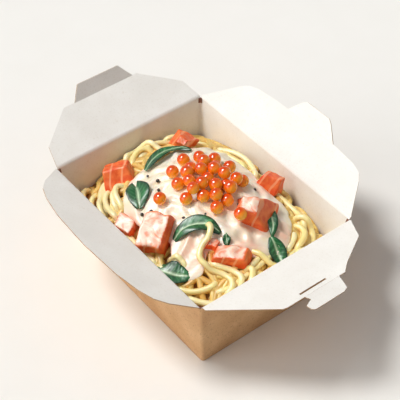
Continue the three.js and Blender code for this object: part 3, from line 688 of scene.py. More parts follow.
def leaf_point(leaf, heights, along, across):
    rib, width, fold, arch, sweep = leaf
    ahead = sweep * along * abs(across) ** LEAF_SWEEP_POWER
    curve = Curve(rib)
    middle = curve.at(along)[0]
    heading = curve.tangent(along)
    rounded = math.sin(math.pi * (LEAF_TIP + (1 - 2 * LEAF_TIP) * along)) ** LEAF_FULLNESS
    half = width / 2 * rounded
    x = middle[0] - heading[1] * half * across + heading[0] * ahead
    y = middle[1] + heading[0] * half * across + heading[1] * ahead
    x, y = clear_of_wall(x, y)
    wave = LEAF_WAVE * math.sin(LEAF_WAVE_ALONG * along + LEAF_WAVE_ACROSS * across)
    lift = arch * math.sin(math.pi * along) + fold * half * abs(across) + wave
    ground = (heights.mean(*middle, RIB_SPREAD) + heights.mean(x, y, BLADE_SPREAD)) / 2
    return x, y, ground + lift + GAP


def leaf_places(leaf, heights, rows, columns):
    return [[leaf_point(leaf, heights, row / rows, 2 * column / columns - 1)
             for column in range(columns + 1)] for row in range(rows + 1)]


# Specks with their size. Beads that lie apart, with how far they stand up, and beads of the pile:
# low on the sauce, high on others, and hidden under them
SPECKS = [(-28, -15, 0.7), (-20, -14, 1.05), (-6, -29, 1.15), (-9, -33, 1), (11, -20, 0.95),
          (17, -10, 0.6), (16, 25, 0.9), (22, 9, 1.1), (-14, -18, 0.9), (-24, -4, 0.75)]
ROE_APART = [(-6, -23, 0), (31.5, 2, 3)]
ROE_LOW = [(-21.5, 4.8), (-18.7, 13.7), (-12.6, 19.6), (-2.8, 22.4), (-17, -6.2), (-6.5, -9.4),
           (4.4, -11.8), (19.4, -4.2), (17.4, 4.5), (10.3, 19.6), (9.3, -4.9)]
ROE_HIGH = [(-8.4, -2.3), (-5.5, 5.7), (-1.4, 11.2), (-3.3, -4.9), (2.7, -1.3), (7.8, 3.9),
            (6, 12.5), (14.7, 7.6), (4.8, -8.2), (13.4, -1.2), (9.3, 15.5), (-12, 11.5)]
ROE_HIDDEN = [(-12, 2), (-5, 14), (0, 4), (9, 10)]

# How widely heights are taken and spread, and how closely the sauce and the leaves are laid
SETTLED_SPREAD = 4
SAUCE_SPREAD = 1.5
LEAF_SPREAD = 1.6
SAUCE_LAY_SPOKES = 96
SAUCE_LAY_RINGS = 25
LEAF_LAY_STEP = 4
LEAF_LAY_FEWEST = 4

# Everything in the carton, laid in order from the bottom up
heights = HeightMap(core_top)
strand_lines = [lay_strand(heights, places)
                for places in wall_strands() + UNDER_STRANDS + UPPER_STRANDS]
for line in strand_lines[:LOOP_COUNT]:
    for i, (x, y, z) in enumerate(line):
        in_corner = (smoothstep(y, *BACK_FROM_Y) * (1 - smoothstep(x, *BACK_TO_X))
                     * smoothstep(x, *BACK_FROM_X))
        line[i] = (x, y, z - BACK_SINK * in_corner)
laid = np.array([[heights.mean(x, y, SETTLED_SPREAD) for x, y in zip(row_x, row_y)]
                 for row_x, row_y in zip(heights.x, heights.y)])
ground = HeightMap(lambda x, y: np.maximum(laid + SAUCE_THICKNESS, heap_top(x, y)))


def sauce_top(x, y):
    return ground.mean(x, y, SAUCE_SPREAD)


corners = [step_on(*SAUCE_CENTRE, i / len(SAUCE_REACH) * FULL_TURN, reach)
           for i, reach in enumerate(SAUCE_REACH)]
for edge in Curve(corners, closed=True).spaced(SAUCE_LAY_SPOKES)[:-1]:
    for share in np.linspace(0, 1, SAUCE_LAY_RINGS + 1):
        x, y = SAUCE_CENTRE + (edge - SAUCE_CENTRE) * share
        heights.lay_flat(x, y, sauce_top(x, y), SAUCE_SPREAD)

leaf_grids = []
for leaf in LEAVES:
    rows = max(LEAF_LAY_FEWEST, nearest(Curve(leaf[0]).length / LEAF_LAY_STEP))
    coarse = leaf_places(leaf, heights, rows, LEAF_LAY_FEWEST)
    leaf_grids.append(leaf_places(leaf, heights, LEAF_ROWS, LEAF_COLUMNS))
    for row in coarse:
        for x, y, z in row:
            heights.lay_flat(x, y, z + LEAF_THICKNESS, LEAF_SPREAD)

strand_lines += [lay_strand(heights, places, CROSSING_LIFT) for places in CROSSING_STRANDS]


# The noodles: those that show, a loose layer below them and the imported core. The layer and the
# core are coloured darker as painted shade between the strands.
END_TUCK = (3, 7)
LEAF_END_TUCK = (3.5, 9)


def tuck_ends(line, depth, length):
    """Sink both ends of a strand further, so that they go out of sight."""
    along = along_line(line)
    return [(x, y, z - depth * (1 - smoothstep(min(s, along[-1] - s), 0, length)))
            for (x, y, z), s in zip(line, along)]


# The loose layer: where its loops start, how they wander, and how deep they lie
FILLER_COUNT = 190
FILLER_SEED = 5
FILLER_START = (58, 45)
FILLER_BOUNDS = (60, 46)
FILLER_MARGIN = 3
FILLER_STEP = 7
FILLER_STEPS = (5, 9)
FILLER_BEND = 0.5
FILLER_WANDER = 0.3
TURN_BACK = 1.6
FILLER_SHORTEST = 15
FILLER_DEPTH = 3.2
FILLER_SINK = 1.2
FILLER_DIP = 1
FILLER_HIGHEST = 0.45


def filler_lines():
    """Loose loops that fill the gaps, sunk so that they stay below the strands on top."""
    random = np.random.RandomState(FILLER_SEED)
    below = HeightMap(lambda x, y: core_top(x, y) - FILLER_DEPTH)
    lines = []
    for _ in range(FILLER_COUNT):
        x, y = (random.uniform(-half, half) for half in FILLER_START)
        heading = random.uniform(0, FULL_TURN)
        bend = random.uniform(-FILLER_BEND, FILLER_BEND)
        places = []
        for _ in range(random.randint(*FILLER_STEPS)):
            places.append(clear_of_wall(x, y, FILLER_MARGIN))
            heading += bend + random.uniform(-FILLER_WANDER, FILLER_WANDER)
            x, y = step_on(x, y, heading, FILLER_STEP)
            if abs(x) > FILLER_BOUNDS[0] or abs(y) > FILLER_BOUNDS[1]:
                heading += TURN_BACK
                x, y = clear_of_wall(x, y)
        if Curve(places).length > FILLER_SHORTEST:
            line = [(px, py, min(pz, core_top(px, py) + FILLER_HIGHEST))
                    for px, py, pz in drape(below, places, -FILLER_SINK, FILLER_DIP)]
            for place in line:
                below.lay(*place, NOODLE_RADIUS)
            lines.append(line)
    return lines


strand_lines = [tuck_ends(line, *END_TUCK) for line in strand_lines]
leaf_crossing = -len(CROSSING_STRANDS)
strand_lines[leaf_crossing] = tuck_ends(strand_lines[leaf_crossing], *LEAF_END_TUCK)
settle(strands_piece("noodles_top", strand_lines, NOODLE, seed=3, sides=10, step=1.1),
       "noodle", "noodles")
settle(strands_piece("noodles_below", filler_lines(), NOODLE_PAINTED_SHADE, seed=4, sides=8, step=1.6),
       "noodle", "noodles")


def carton_ring(z, margin, corner_steps=6, side_steps=1):
    """The carton's rounded rectangle at a height, moved inwards by a margin."""
    half_x, half_y = wall_half(z)
    x = half_x - margin - CORNER_RADIUS
    y = half_y - margin - CORNER_RADIUS
    arcs = []
    for corner, (cx, cy) in enumerate([(x, y), (-x, y), (-x, -y), (x, -y)]):
        angles = [(corner + step / corner_steps) * math.pi / 2 for step in range(corner_steps + 1)]
        arcs.append([(*step_on(cx, cy, angle, CORNER_RADIUS), z) for angle in angles])
    points = []
    for arc, next_arc in zip(arcs, arcs[1:] + arcs[:1]):
        points += arc
        start, end = np.array(arc[-1]), np.array(next_arc[0])
        for step in range(1, side_steps):
            points.append(tuple(start + (end - start) * step / side_steps))
    return points


# The core: how far below the heap's core it stays, and the rings of its top
CORE_DROP = 2.2
CORE_STEPS = (4, 12)
CORE_SETTLING = 4
CORE_SHARES = (0.92, 0.84, 0.74, 0.62, 0.5, 0.38, 0.26, 0.14, 0.05)


def core_piece():
    def surface(x, y):
        return x, y, float(core_top(x, y)) - CORE_DROP

    margin = BOARD + GAP
    settled = carton_ring(HEIGHT / 2, margin, *CORE_STEPS)
    for _ in range(CORE_SETTLING):
        settled = [surface(*carton_ring(z, margin, *CORE_STEPS)[i][:2])
                   for i, (_, _, z) in enumerate(settled)]
    rings = [carton_ring(CORE_FLOOR, margin, *CORE_STEPS), settled]
    rings += [[surface(x * share, y * share) for x, y, _ in settled] for share in CORE_SHARES]
    return make_mesh("noodle_core", *rings_mesh(rings), [NOODLE_CORE_SHADE])


settle(core_piece(), "noodle", "noodles")


# The sauce: a smooth blanket with soft ridges where strands lie under it, and a rounded edge
SAUCE_RINGS = 70
SAUCE_SPOKES = 200
RING_POWER = 0.85
SAUCE_MARGIN = 0.5
EDGE_ROUND = 3.2
EDGE_DROP = 1.7
EDGE_THICKNESS = 0.25
BODY_THICKNESS = 1.6
WOBBLE = 1.2
WOBBLE_SCALE = 0.2
SWELL = 0.5
SWELL_SCALE = (0.3, 0.22)
SWELL_SLANT = 0.1

# The strands under it, and how much of them shows
RIDGE_COUNT = 46
RIDGE_SEED = 21
RIDGE_X = (-36, 48)
RIDGE_Y = (-34, 32)
RIDGE_BEND = (0.25, 0.6)
RIDGE_STEPS = (5, 8)
RIDGE_STEP = 8
RIDGE_SAMPLES = 60
RIDGE_LIFT = 1.6
RIDGE_LEVEL = 2.4
RIDGE_SHARE = 0.55

# Where the sauce is painted pink as shade: place in plan and reach, then how strongly
PINK_SHADE_PLACES = [(31.5, 14, 17), (46, -4, 12), (40, -22, 10), (14, -38, 14), (-12, -41, 10),
                (30, -30, 12), (-40, 0, 7), (-38, -20, 8), (16, 32, 9), (45, 20, 10), (24, -24, 8)]
PINK_SHADE_STRENGTH = 1.6
LEAST_PINK_SHADE = 0.08


def strands_under_sauce():
    """Heights of strands that lie just under the sauce and show through it as soft ridges."""
    random = np.random.RandomState(RIDGE_SEED)
    surface = HeightMap(core_top)
    for _ in range(RIDGE_COUNT):
        x, y = random.uniform(*RIDGE_X), random.uniform(*RIDGE_Y)
        heading = random.uniform(0, FULL_TURN)
        bend = random.choice([-1, 1]) * random.uniform(*RIDGE_BEND)
        places = []
        for _ in range(random.randint(*RIDGE_STEPS)):
            places.append((x, y))
            heading += bend
            x, y = step_on(x, y, heading, RIDGE_STEP)
        for x, y in Curve(places).spaced(RIDGE_SAMPLES):
            x, y = clear_of_wall(x, y)
            surface.lay(x, y, float(core_top(x, y)) + RIDGE_LIFT, NOODLE_RADIUS)
    return surface


def sauce_ridge(under_sauce, x, y):
    """How far the sauce rises at a place, over strands and by its own soft swell."""
    place = Vector((x * SWELL_SCALE[0], y * SWELL_SCALE[1] - x * SWELL_SLANT, 2))
    over_core = under_sauce.mean(x, y, NOODLE_RADIUS) - float(core_top(x, y))
    return RIDGE_SHARE * (over_core - RIDGE_LEVEL + SWELL * noise.noise(place))


def sauce_piece():
    under_sauce = strands_under_sauce()
    rim = []
    for place in Curve(SAUCE_OUTLINE, closed=True).spaced(SAUCE_SPOKES)[:-1]:
        outward = place - SAUCE_CENTRE
        wobble = WOBBLE * noise.noise(Vector((*(place * WOBBLE_SCALE), 3)))
        rim.append(outward * (1 + wobble / np.linalg.norm(outward)))
    tops, bottoms, blush = [], [], []
    for ring in range(SAUCE_RINGS + 1):
        share = (ring / SAUCE_RINGS) ** RING_POWER
        for outward in rim:
            x, y = clear_of_wall(*(SAUCE_CENTRE + outward * share), SAUCE_MARGIN)
            from_edge = np.linalg.norm(outward) * (1 - share)
            crown = quarter_round(from_edge / EDGE_ROUND)
            top = sauce_top(x, y) + sauce_ridge(under_sauce, x, y) * crown
            top -= EDGE_DROP * (1 - crown)
            tops.append((x, y, top))
            bottoms.append((x, y, top - EDGE_THICKNESS - BODY_THICKNESS * crown))
            # A painted pink shade near the listed places, and a faint one everywhere.
            near = max(1 - math.hypot(x - px, y - py) / size for px, py, size in PINK_SHADE_PLACES)
            blush.append(min(max(near * PINK_SHADE_STRENGTH, LEAST_PINK_SHADE), 1))
    count = len(rim)
    lower = len(tops)
    faces = []
    for ring in range(SAUCE_RINGS):
        for a, b in ring_pairs(ring * count, count):
            faces.append((a, a + count, b + count, b))
            faces.append((a + lower, b + lower, b + count + lower, a + count + lower))
    faces += [(a, a + lower, b + lower, b) for a, b in ring_pairs(SAUCE_RINGS * count, count)]
    return make_mesh("cream_sauce", tops + bottoms, faces, [SAUCE], blush=blush + blush)


settle(sauce_piece(), "sauce", "sauce")


def sphere(rings, spokes):
    """Points and faces of a ball of radius 1."""
    points = [(0, 0, 1)]
    for ring in range(1, rings):
        polar = ring / rings * math.pi
        for spoke in range(spokes):
            angle = spoke / spokes * FULL_TURN
            points.append((math.sin(polar) * math.cos(angle), math.sin(polar) * math.sin(angle),
                           math.cos(polar)))
    points.append((0, 0, -1))
    last = len(points) - 1
    faces = [(0, a, b) for a, b in ring_pairs(1, spokes)]
    for start in range(1, last - spokes, spokes):
        faces += [(a, a + spokes, b + spokes, b) for a, b in ring_pairs(start, spokes)]
    faces += [(a, last, b) for a, b in ring_pairs(last - spokes, spokes)]
    return np.array(points), faces


PEPPER_DETAIL = (8, 10)
PEPPER_LIFT = 0.15
PEPPER_ROUGHNESS = 0.25
PEPPER_LUMPS = 2


def pepper_piece():
    grain, grain_faces = sphere(*PEPPER_DETAIL)
    points, faces = [], []
    for x, y, size in SPECKS:
        at = np.array((x, y, sauce_top(x, y) + PEPPER_LIFT))
        lumps = [noise.noise(Vector(p) * PEPPER_LUMPS + Vector((x, y, 0))) for p in grain]
        rough = [at + p * size * (1 + PEPPER_ROUGHNESS * lump) for p, lump in zip(grain, lumps)]
        add_part(points, faces, rough, grain_faces)
    return make_mesh("pepper_specks", points, faces, [PEPPER])


settle(pepper_piece(), "sauce")


# Salmon: how square the pieces are, how wavy, and how the sauce veils their faces
SALMON_GRID = 26
SALMON_POWER = 13
EDGE_POWER = 9
SALMON_WAVE = 0.05
WAVE_ALONG = 4
WAVE_ACROSS = 2
LUMP_SIZE = 0.9
LUMP_SCALE = 0.16
LUMP_SHIFT = 9
FLAKE_DEPTH = 0.1
FLAKE_SCALE = 1.1
FLAKE_BEND = 1.2
FLAKE_BEND_SCALE = 0.5
SALMON_SHRINK = 0.2
CREAM_MIDDLE = 0.5
CREAM_CONTRAST = 0.8
CREAM_EDGE = 0.3


def salmon_piece(number, entry):
    at, rise, size, turn, pitch, roll, taper, veil, cover, slants = entry
    top_to_x, top_to_y, side_to_x = slants
    half = [side / 2 for side in size]
    veil = Vector(veil).normalized()
    points, faces, cream = [], [], []
    seen = {}

    def surface(a, b, c):
        """The point for a place on the surface of the cube from -1 to 1."""
        total = sum(abs(value) ** SALMON_POWER for value in (a, b, c))
        unit = Vector((a, b, c)) * (1 / total ** (1 / SALMON_POWER))
        narrow = 1 - taper * (c + 1) / 2
        wave = 1 + SALMON_WAVE * math.sin(WAVE_ALONG * a + WAVE_ACROSS * b)
        spot = Vector((half[0] * unit.x * narrow, half[1] * unit.y * narrow * wave,
                       half[2] * unit.z))
        spot.x += top_to_x * spot.z + side_to_x * spot.y
        spot.y += top_to_y * spot.z
        lump = noise.noise(spot * LUMP_SCALE + Vector((number * LUMP_SHIFT, 0, 0)))
        bend = FLAKE_BEND * math.sin(FLAKE_BEND_SCALE * spot.y + number)
        flake = math.sin(FLAKE_SCALE * spot.x + bend)
        return spot + unit.normalized() * (LUMP_SIZE * lump + FLAKE_DEPTH * flake - SALMON_SHRINK)

    def veiling(a, b, c):
        face = Vector([value ** EDGE_POWER for value in (a, b, c)]).normalized()
        edge = sorted((abs(a), abs(b), abs(c)))[1] ** EDGE_POWER
        faced = face.dot(veil) - CREAM_MIDDLE + cover
        return CREAM_MIDDLE + CREAM_CONTRAST * faced - CREAM_EDGE * edge

    def index(*place):
        key = tuple(round(value, 4) for value in place)
        if key not in seen:
            seen[key] = len(points)
            points.append(tuple(surface(*place)))
            cream.append(veiling(*place))
        return seen[key]

    steps = np.linspace(-1, 1, SALMON_GRID + 1)
    cells = range(SALMON_GRID)
    for axis, side, i, j in product(range(3), (-1, 1), cells, cells):
        corners = []
        for u, v in ((i, j), (i + 1, j), (i + 1, j + 1), (i, j + 1)):
            place = [side, steps[u], steps[v]]
            corners.append(index(*(place[k - axis] for k in range(3))))
        faces.append(tuple(corners[::side]))
    piece = make_mesh(f"salmon_piece_{number}", points, faces, [SALMON_FLESH], cream=cream)
    angles = [math.radians(value) for value in (roll, pitch, turn)]
    centre = Vector((*at, float(heap_top(*at)) + rise)) * MM
    piece.matrix_world = Matrix.Translation(centre) @ Euler(angles).to_matrix().to_4x4()
    return piece


for number, entry in enumerate(SALMON, 1):
    settle(salmon_piece(number, entry), "salmon", f"salmon_{number}")


# Basil leaves, with a midrib and side veins: how many veins, how far they slant, how sharply
# veins and midrib stand out, and how high and deep their relief is
LEAF_VEINS = 7
VEIN_SLANT = 1.1
VEIN_SHARPNESS = 7
RIB_SHARPNESS = 5
RIB_FADE = 12
RIB_STRENGTH = 0.9
RIB_DEPTH = 0.35
VEIN_HEIGHT = 0.22
BLADE_DROP = 0.1
UNDERSIDE = 0.5
EDGE_THINNING = 0.55


def leaf_piece(number, grid):
    count = LEAF_COLUMNS + 1
    tops, bottoms, sides, veins, ribs = [], [], [], [], []
    for row, places in enumerate(grid):
        along = row / LEAF_ROWS
        for column, (x, y, z) in enumerate(places):
            side = abs(2 * column / LEAF_COLUMNS - 1)
            phase = (along * LEAF_VEINS - VEIN_SLANT * side) % 1
            vein = max(0.0, 1 - abs(phase - 0.5) * VEIN_SHARPNESS) * (1 - side ** 3)
            rib = (max(0.0, 1 - side * RIB_SHARPNESS) * min(1, RIB_FADE * (1 - along))
                   * RIB_STRENGTH)
            relief = VEIN_HEIGHT * vein - RIB_DEPTH * rib - BLADE_DROP
            thickness = LEAF_THICKNESS * (1 - EDGE_THINNING * side ** 4)
            tops.append((x, y, z + thickness + relief))
            bottoms.append((x, y, z + relief * UNDERSIDE))
            sides.append(0.5 + 0.5 * side)
            veins.append(vein)
            ribs.append(rib)
    total = len(tops)
    faces = []
    for row in range(LEAF_ROWS):
        for a in range(row * count, (row + 1) * count - 1):
            b, c, d = a + count, a + count + 1, a + 1
            faces.append((a, d, c, b))
            faces.append((a + total, b + total, c + total, d + total))
    last_row = LEAF_ROWS * count
    rim = [*range(0, last_row, count), *range(last_row, total - 1),
           *range(total - 1, count - 1, -count), *range(count - 1, 0, -1)]
    faces += [(a, b, b + total, a + total) for a, b in zip(rim, rim[1:] + rim[:1])]
    return make_mesh(f"basil_leaf_{number}", tops + bottoms, faces, [LEAF],
                     side=sides * 2, vein=veins * 2, rib=ribs * 2)


for number, grid in enumerate(leaf_grids, 1):
    settle(leaf_piece(number, grid), "leaf", f"leaf_{number}")


# Roe: how finely a bead is made, how sizes differ, and how the pile is pushed apart and settles
BEAD_DETAIL = (20, 28)
ROE_SEED = 2
ROE_SIZES = (0.97, 1.05)
PILE_ROUNDS = 60
PILE_CLOSENESS = 0.985
PILE_SETTLING = 0.04
PILE_SINK = 0.5


def beads_piece(name, places):
    ball, ball_faces = sphere(*BEAD_DETAIL)
    points, faces = [], []
    for *centre, radius in places:
        add_part(points, faces, list(ball * radius + np.array(centre)), ball_faces)
    return make_mesh(name, points, faces, [ROE])


def pile_places():
    """Beads on the sauce and beads resting between them, pushed apart until they hardly overlap."""
    random = np.random.RandomState(ROE_SEED)
    plan = [(x, y, 0) for x, y in ROE_LOW] + [(x, y, ROE_RADIUS) for x, y in ROE_HIGH]
    plan += [(x, y, 0) for x, y in ROE_HIDDEN]
    beads = np.array([(x, y, sauce_top(x, y) + ROE_RADIUS + lift) for x, y, lift in plan])
    sizes = ROE_RADIUS * random.uniform(*ROE_SIZES, len(beads))
    for _ in range(PILE_ROUNDS):
        for i in range(len(beads)):
            for j in range(i + 1, len(beads)):
                gap = beads[j] - beads[i]
                distance = np.linalg.norm(gap)
                overlap = PILE_CLOSENESS * (sizes[i] + sizes[j]) - distance
                if overlap > 0:
                    push = gap / distance * overlap / 2
                    beads[i] -= push
                    beads[j] += push
        for bead, size in zip(beads, sizes):
            lowest = sauce_top(bead[0], bead[1]) + size - PILE_SINK
            bead[2] = max(bead[2] - PILE_SETTLING, lowest)
    return [(*bead, size) for bead, size in zip(beads, sizes)]


settle(beads_piece("roe_beads", pile_places()), "roe", "roe_pile")
for number, (x, y, lift) in enumerate(ROE_APART, 1):
    level = heights.rest(x, y, ROE_RADIUS) + lift
    settle(beads_piece(f"roe_bead_{number}", [(x, y, level, ROE_RADIUS)]),
           "roe", f"roe_apart_{number}")


# The carton: the sides that a face of the board can be, and the heights of its rings
KRAFT_SIDE, WHITE_SIDE, CUT_EDGE = range(3)
BOARD_LOOKS = [KRAFT_BOARD, WHITE_BOARD, BOARD_EDGE]
WALL_LEVELS = (18, 36)
INNER_FOOT = BOARD + 0.4


def tray_piece():
    outer = [carton_ring(z, 0) for z in (0, BOARD, *WALL_LEVELS, WALL_TOP)]
    inner = [carton_ring(z, BOARD) for z in (WALL_TOP, *WALL_LEVELS[::-1], INNER_FOOT, BOARD)]
    sides = [KRAFT_SIDE] * (len(outer) - 1) + [CUT_EDGE] + [WHITE_SIDE] * (len(inner) - 1)
    looks = [side for side in sides for _ in outer[0]] + [KRAFT_SIDE, WHITE_SIDE]
    return make_mesh("carton_tray", *rings_mesh(outer + inner), BOARD_LOOKS, looks, smooth=False)


settle(tray_piece(), "kraft_board", "tray")

# The folded webs of the four corners, whose brown tips show just below the rim. Their dark brown,
# darker than the kraft, is painted shade in the folds.
WEB_INSET = 0.55
WEB_LENGTH = 1.7
WEB_WIDTH = 0.8
WEB_OUTSIDE = 0.1
WEB_INSIDE = 0.5
WEB_LOW = 50.6
WEB_HIGH = 53.5


def corner_webs():
    points, faces = [], []
    for side_x, side_y in ((1, 1), (-1, 1), (-1, -1), (1, -1)):
        rings = []
        for z in (WEB_LOW, WEB_HIGH):
            x, y = (half - WEB_INSET for half in wall_half(z))
            flat = [(x, y), (x - WEB_LENGTH, y - WEB_OUTSIDE), (x - WEB_LENGTH, y - WEB_INSIDE),
                    (x - WEB_WIDTH, y - WEB_WIDTH), (x - WEB_INSIDE, y - WEB_LENGTH),
                    (x - WEB_OUTSIDE, y - WEB_LENGTH)]
            rings.append([(side_x * px, side_y * py, z) for px, py in flat])
        more, more_faces = rings_mesh(rings)
        if side_x != side_y:
            more_faces = [face[::-1] for face in more_faces]
        add_part(points, faces, more, more_faces)
    return make_mesh("corner_webs", points, faces, [WEB_PAINTED_SHADE], smooth=False)


settle(corner_webs(), "kraft_board")

# Flaps, each drawn flat: u runs along the hinge, w outwards from it, and the white side is up
FLAPS = [
    {
        "node": "flap_back", "body": "rear_flap", "turn": 0, "tilt": 20, "hinge": RIM_WIDTH / 2,
        "root": LONG_HALF,
        "edge": [(LONG_HALF, FLAP_ROOT), (51, 19), (47, 23), (40, 25.2), (26, 26.4),
                 (0, LONG_REACH)],
        "tab": [(-16, 0), (22, 0), (14, 8), (11, 10), (-7, 10), (-10, 8)], "fold": 30,
    },
    {
        "node": "flap_right", "body": "right_flap", "turn": -90, "tilt": 12,
        "hinge": RIM_LENGTH / 2, "root": SHORT_HALF,
        "edge": [(SHORT_HALF, FLAP_ROOT), (SHORT_HALF, 3), (22.5, SHORT_REACH - 0.7),
                 (20, SHORT_REACH)],
        "other_edge": [(SHORT_HALF, FLAP_ROOT), (43.5, 14), (24, 26), (18, SHORT_REACH)],
        "tab": [(-14, 0), (9, 0), (7.5, 3), (12, 5), (11.5, 8), (10, 9.3), (-9, 9.3), (-12, 8)],
        "fold": -12, "slit": (-8, 9.5, 27.8, 1.2),
    },
    {
        "node": "flap_front", "body": "front_flap", "turn": 180, "tilt": 20,
        "hinge": RIM_WIDTH / 2, "root": LONG_HALF,
        "edge": [(LONG_HALF, FLAP_ROOT), (63, 2.5), (56, 13.5), (50, 19), (41, 22.5),
                 (26, 25.5), (0, LONG_REACH)],
    },
    {
        "node": "flap_left", "body": "left_flap", "turn": 90, "tilt": 20,
        "hinge": RIM_LENGTH / 2, "root": SHORT_HALF,
        "edge": [(SHORT_HALF, FLAP_ROOT), (47, 13.4), (25.5, SHORT_REACH)],
        "tab": [(-18, 0), (23, 0), (15.5, 9.5), (-12.5, 9.5)], "fold": 40,
    },
]

TAB_OVERLAP = 0.05


def turned(degrees, axis):
    return Matrix.Rotation(math.radians(degrees), 4, axis)


def panel_mesh(outline, slit=None):
    """A flat board panel from an outline, with an optional rectangular slit."""
    count = len(outline)
    points = [(u, w, level) for level in (0, BOARD) for u, w in outline]
    faces, looks = [], []
    if slit:
        start, end, middle, width = slit
        low, high = middle - width / 2, middle + width / 2
        inner = [(start, low), (end, low), (end, high), (start, high)]
        base = len(points)
        points += [(u, w, level) for level in (0, BOARD) for u, w in inner]
        faces += [(a, a + 4, b + 4, b) for a, b in ring_pairs(base, 4)]
        looks += [CUT_EDGE] * 4
        rings = [[Vector((u, w, 0)) for u, w in ring] for ring in (outline, inner)]
        flat = [*range(count), *range(base, base + 4)]
        for corners in tessellate_polygon(rings):
            tri = [flat[i] for i in corners]
            a, b, c = (Vector(points[i]) for i in tri)
            if (b - a).cross(c - a).z < 0:
                tri = tri[::-1]
            faces.append(tuple(tri[::-1]))
            faces.append(tuple(i + count if i < count else i + 4 for i in tri))
            looks += [KRAFT_SIDE, WHITE_SIDE]
    else:
        faces += [tuple(range(count - 1, -1, -1)), tuple(range(count, 2 * count))]
        looks += [KRAFT_SIDE, WHITE_SIDE]
    faces += [(a, b, b + count, a + count) for a, b in ring_pairs(0, count)]
    looks += [CUT_EDGE] * count
    return points, faces, looks


def flap_piece(flap):
    other = flap.get("other_edge", flap["edge"])
    mirrored = [(-u, w) for u, w in other if u > 0][::-1]
    points, faces, looks = panel_mesh(flap["edge"] + mirrored, flap.get("slit"))
    if "tab" in flap:
        tab_points, tab_faces, tab_looks = panel_mesh(flap["tab"])
        shift = Matrix.Translation((0, flap["edge"][-1][1] - TAB_OVERLAP, 0))
        fold = turned(flap["fold"], "X")
        add_part(points, faces, [tuple(shift @ (fold @ Vector(p))) for p in tab_points], tab_faces)
        looks += tab_looks
    place = (turned(flap["turn"], "Z") @ Matrix.Translation((0, flap["hinge"], HEIGHT))
             @ turned(flap["tilt"], "X"))
    points = [tuple(place @ Vector(p)) for p in points]
    return make_mesh(f"{flap['node']}_board", points, faces, BOARD_LOOKS, looks, smooth=False)


# How far the crease laps over wall and flap, its steps, and the place its inner bend leans to
CREASE_LAP = 0.3
CREASE_STEPS = 8
CREASE_CORNER = Vector((0, -0.9 * BOARD, 0.5 * BOARD))


def crease_piece(flap):
    """The bent strip of board between the wall's top edge and the flap."""
    tilt = math.radians(flap["tilt"])
    along = Vector((0, math.cos(tilt), math.sin(tilt)))
    up = Vector((0, -math.sin(tilt), math.cos(tilt)))
    drop = HEIGHT - WALL_TOP + CREASE_LAP
    wall_out = Vector((0, -WALL_TAPER / HEIGHT * drop, -drop))
    wall_in = wall_out + Vector((0, -BOARD, 0))
    flap_low = along * (FLAP_ROOT + CREASE_LAP)
    flap_high = flap_low + up * BOARD
    under, over = [], []
    for step in range(CREASE_STEPS + 1):
        share = step / CREASE_STEPS
        at_wall, at_corner, at_flap = (1 - share) ** 2, 2 * share * (1 - share), share ** 2
        under.append(wall_out * at_wall + flap_low * at_flap)
        over.append(wall_in * at_wall + CREASE_CORNER * at_corner + flap_high * at_flap)
    section = under + over[::-1]
    turn = turned(flap["turn"], "Z")
    shift = Vector((0, flap["hinge"], HEIGHT))
    points, faces = rings_mesh([[tuple(turn @ (p + shift + Vector((u, 0, 0)))) for p in section]
                                for u in (-flap["root"], flap["root"])])
    looks = ([KRAFT_SIDE] * CREASE_STEPS + [CUT_EDGE] + [WHITE_SIDE] * CREASE_STEPS
             + [CUT_EDGE] * 3)
    piece = make_mesh(f"{flap['node']}_crease", points, faces, BOARD_LOOKS, looks, smooth=False)
    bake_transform(piece)


for flap in FLAPS:
    settle(flap_piece(flap), "white_board", flap["node"], body=flap["body"])
    crease_piece(flap)


# Floor, light and camera
FLOOR_HALF = 3000
FLOOR_LEVEL = -0.2
WORLD_COLOUR = (1, 0.98, 0.985, 1)
WORLD_STRENGTH = 0.3
LIGHT_DISTANCE = 900
CAMERA_LENS = 117.66
CAMERA_SENSOR = 36
CAMERA_REACH = 10000
CAMERA_TARGET = Vector((3.701, -3.307, HEIGHT))
CAMERA_AZIMUTH = 51.994
CAMERA_ELEVATION = 44.55
CAMERA_DISTANCE = 706.694


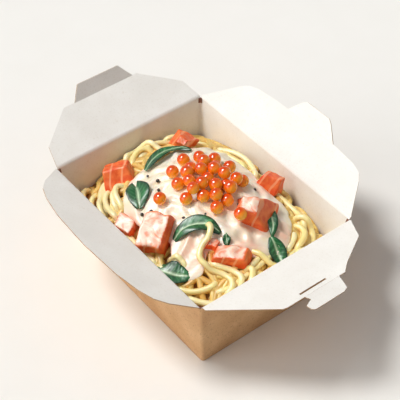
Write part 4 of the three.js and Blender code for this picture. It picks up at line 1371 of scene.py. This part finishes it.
def paper_look():
    look = Look("paper", 0.9)
    look.colour(look.mix(look.noise(30, detail=4), srgb(243, 242, 238), srgb(239, 238, 233)))
    look.relief(look.noise(700), depth=0.05, strength=0.3)
    return look.material


def stand_facing(name, data, direction, distance, target=Vector()):
    """Put a light or a camera out in a direction from its target, and turn it to face that."""
    thing = bpy.data.objects.new(name, data)
    thing.location = target * MM + direction * (distance * MM)
    thing.rotation_mode = "QUATERNION"
    thing.rotation_quaternion = (-direction).to_track_quat("-Z", "Y")
    scene.collection.objects.link(thing)
    return thing


def add_light(name, kind, direction, energy, colour, **settings):
    light = bpy.data.lights.new(name, kind)
    light.energy = energy
    light.color = colour
    for key, value in settings.items():
        setattr(light, key, value)
    return stand_facing(name, light, direction, LIGHT_DISTANCE)


def add_camera():
    lens = bpy.data.cameras.new("camera")
    lens.lens = CAMERA_LENS
    lens.sensor_width = CAMERA_SENSOR
    lens.clip_end = CAMERA_REACH * MM
    azimuth = math.radians(CAMERA_AZIMUTH)
    elevation = math.radians(CAMERA_ELEVATION)
    direction = Vector((math.sin(azimuth) * math.cos(elevation),
                        -math.cos(azimuth) * math.cos(elevation), math.sin(elevation)))
    return stand_facing("camera", lens, direction, CAMERA_DISTANCE, CAMERA_TARGET)


floor_corners = [(x * FLOOR_HALF, y * FLOOR_HALF, FLOOR_LEVEL)
                 for x, y in ((-1, -1), (1, -1), (1, 1), (-1, 1))]
floor = make_mesh("floor", floor_corners, [(0, 1, 2, 3)], [paper_look()])

scene.world = scene.world or bpy.data.worlds.new("world")
scene.world.use_nodes = True
backdrop = scene.world.node_tree.nodes["Background"]
backdrop.inputs["Color"].default_value = WORLD_COLOUR
backdrop.inputs["Strength"].default_value = WORLD_STRENGTH

add_light("key", "SUN", LIGHT_FROM, energy=2.25, colour=(1, 0.99, 0.975), angle=math.radians(18))
add_light("side", "SUN", SIDE_LIGHT_FROM, energy=0.95, colour=(1, 0.985, 0.965),
          angle=math.radians(45))
sparkle = add_light("sparkle", "AREA", LIGHT_FROM, energy=8, colour=(1, 1, 1), size=0.32)
sparkle.visible_diffuse = False

scene.camera = add_camera()
scene.view_settings.view_transform = "Standard"
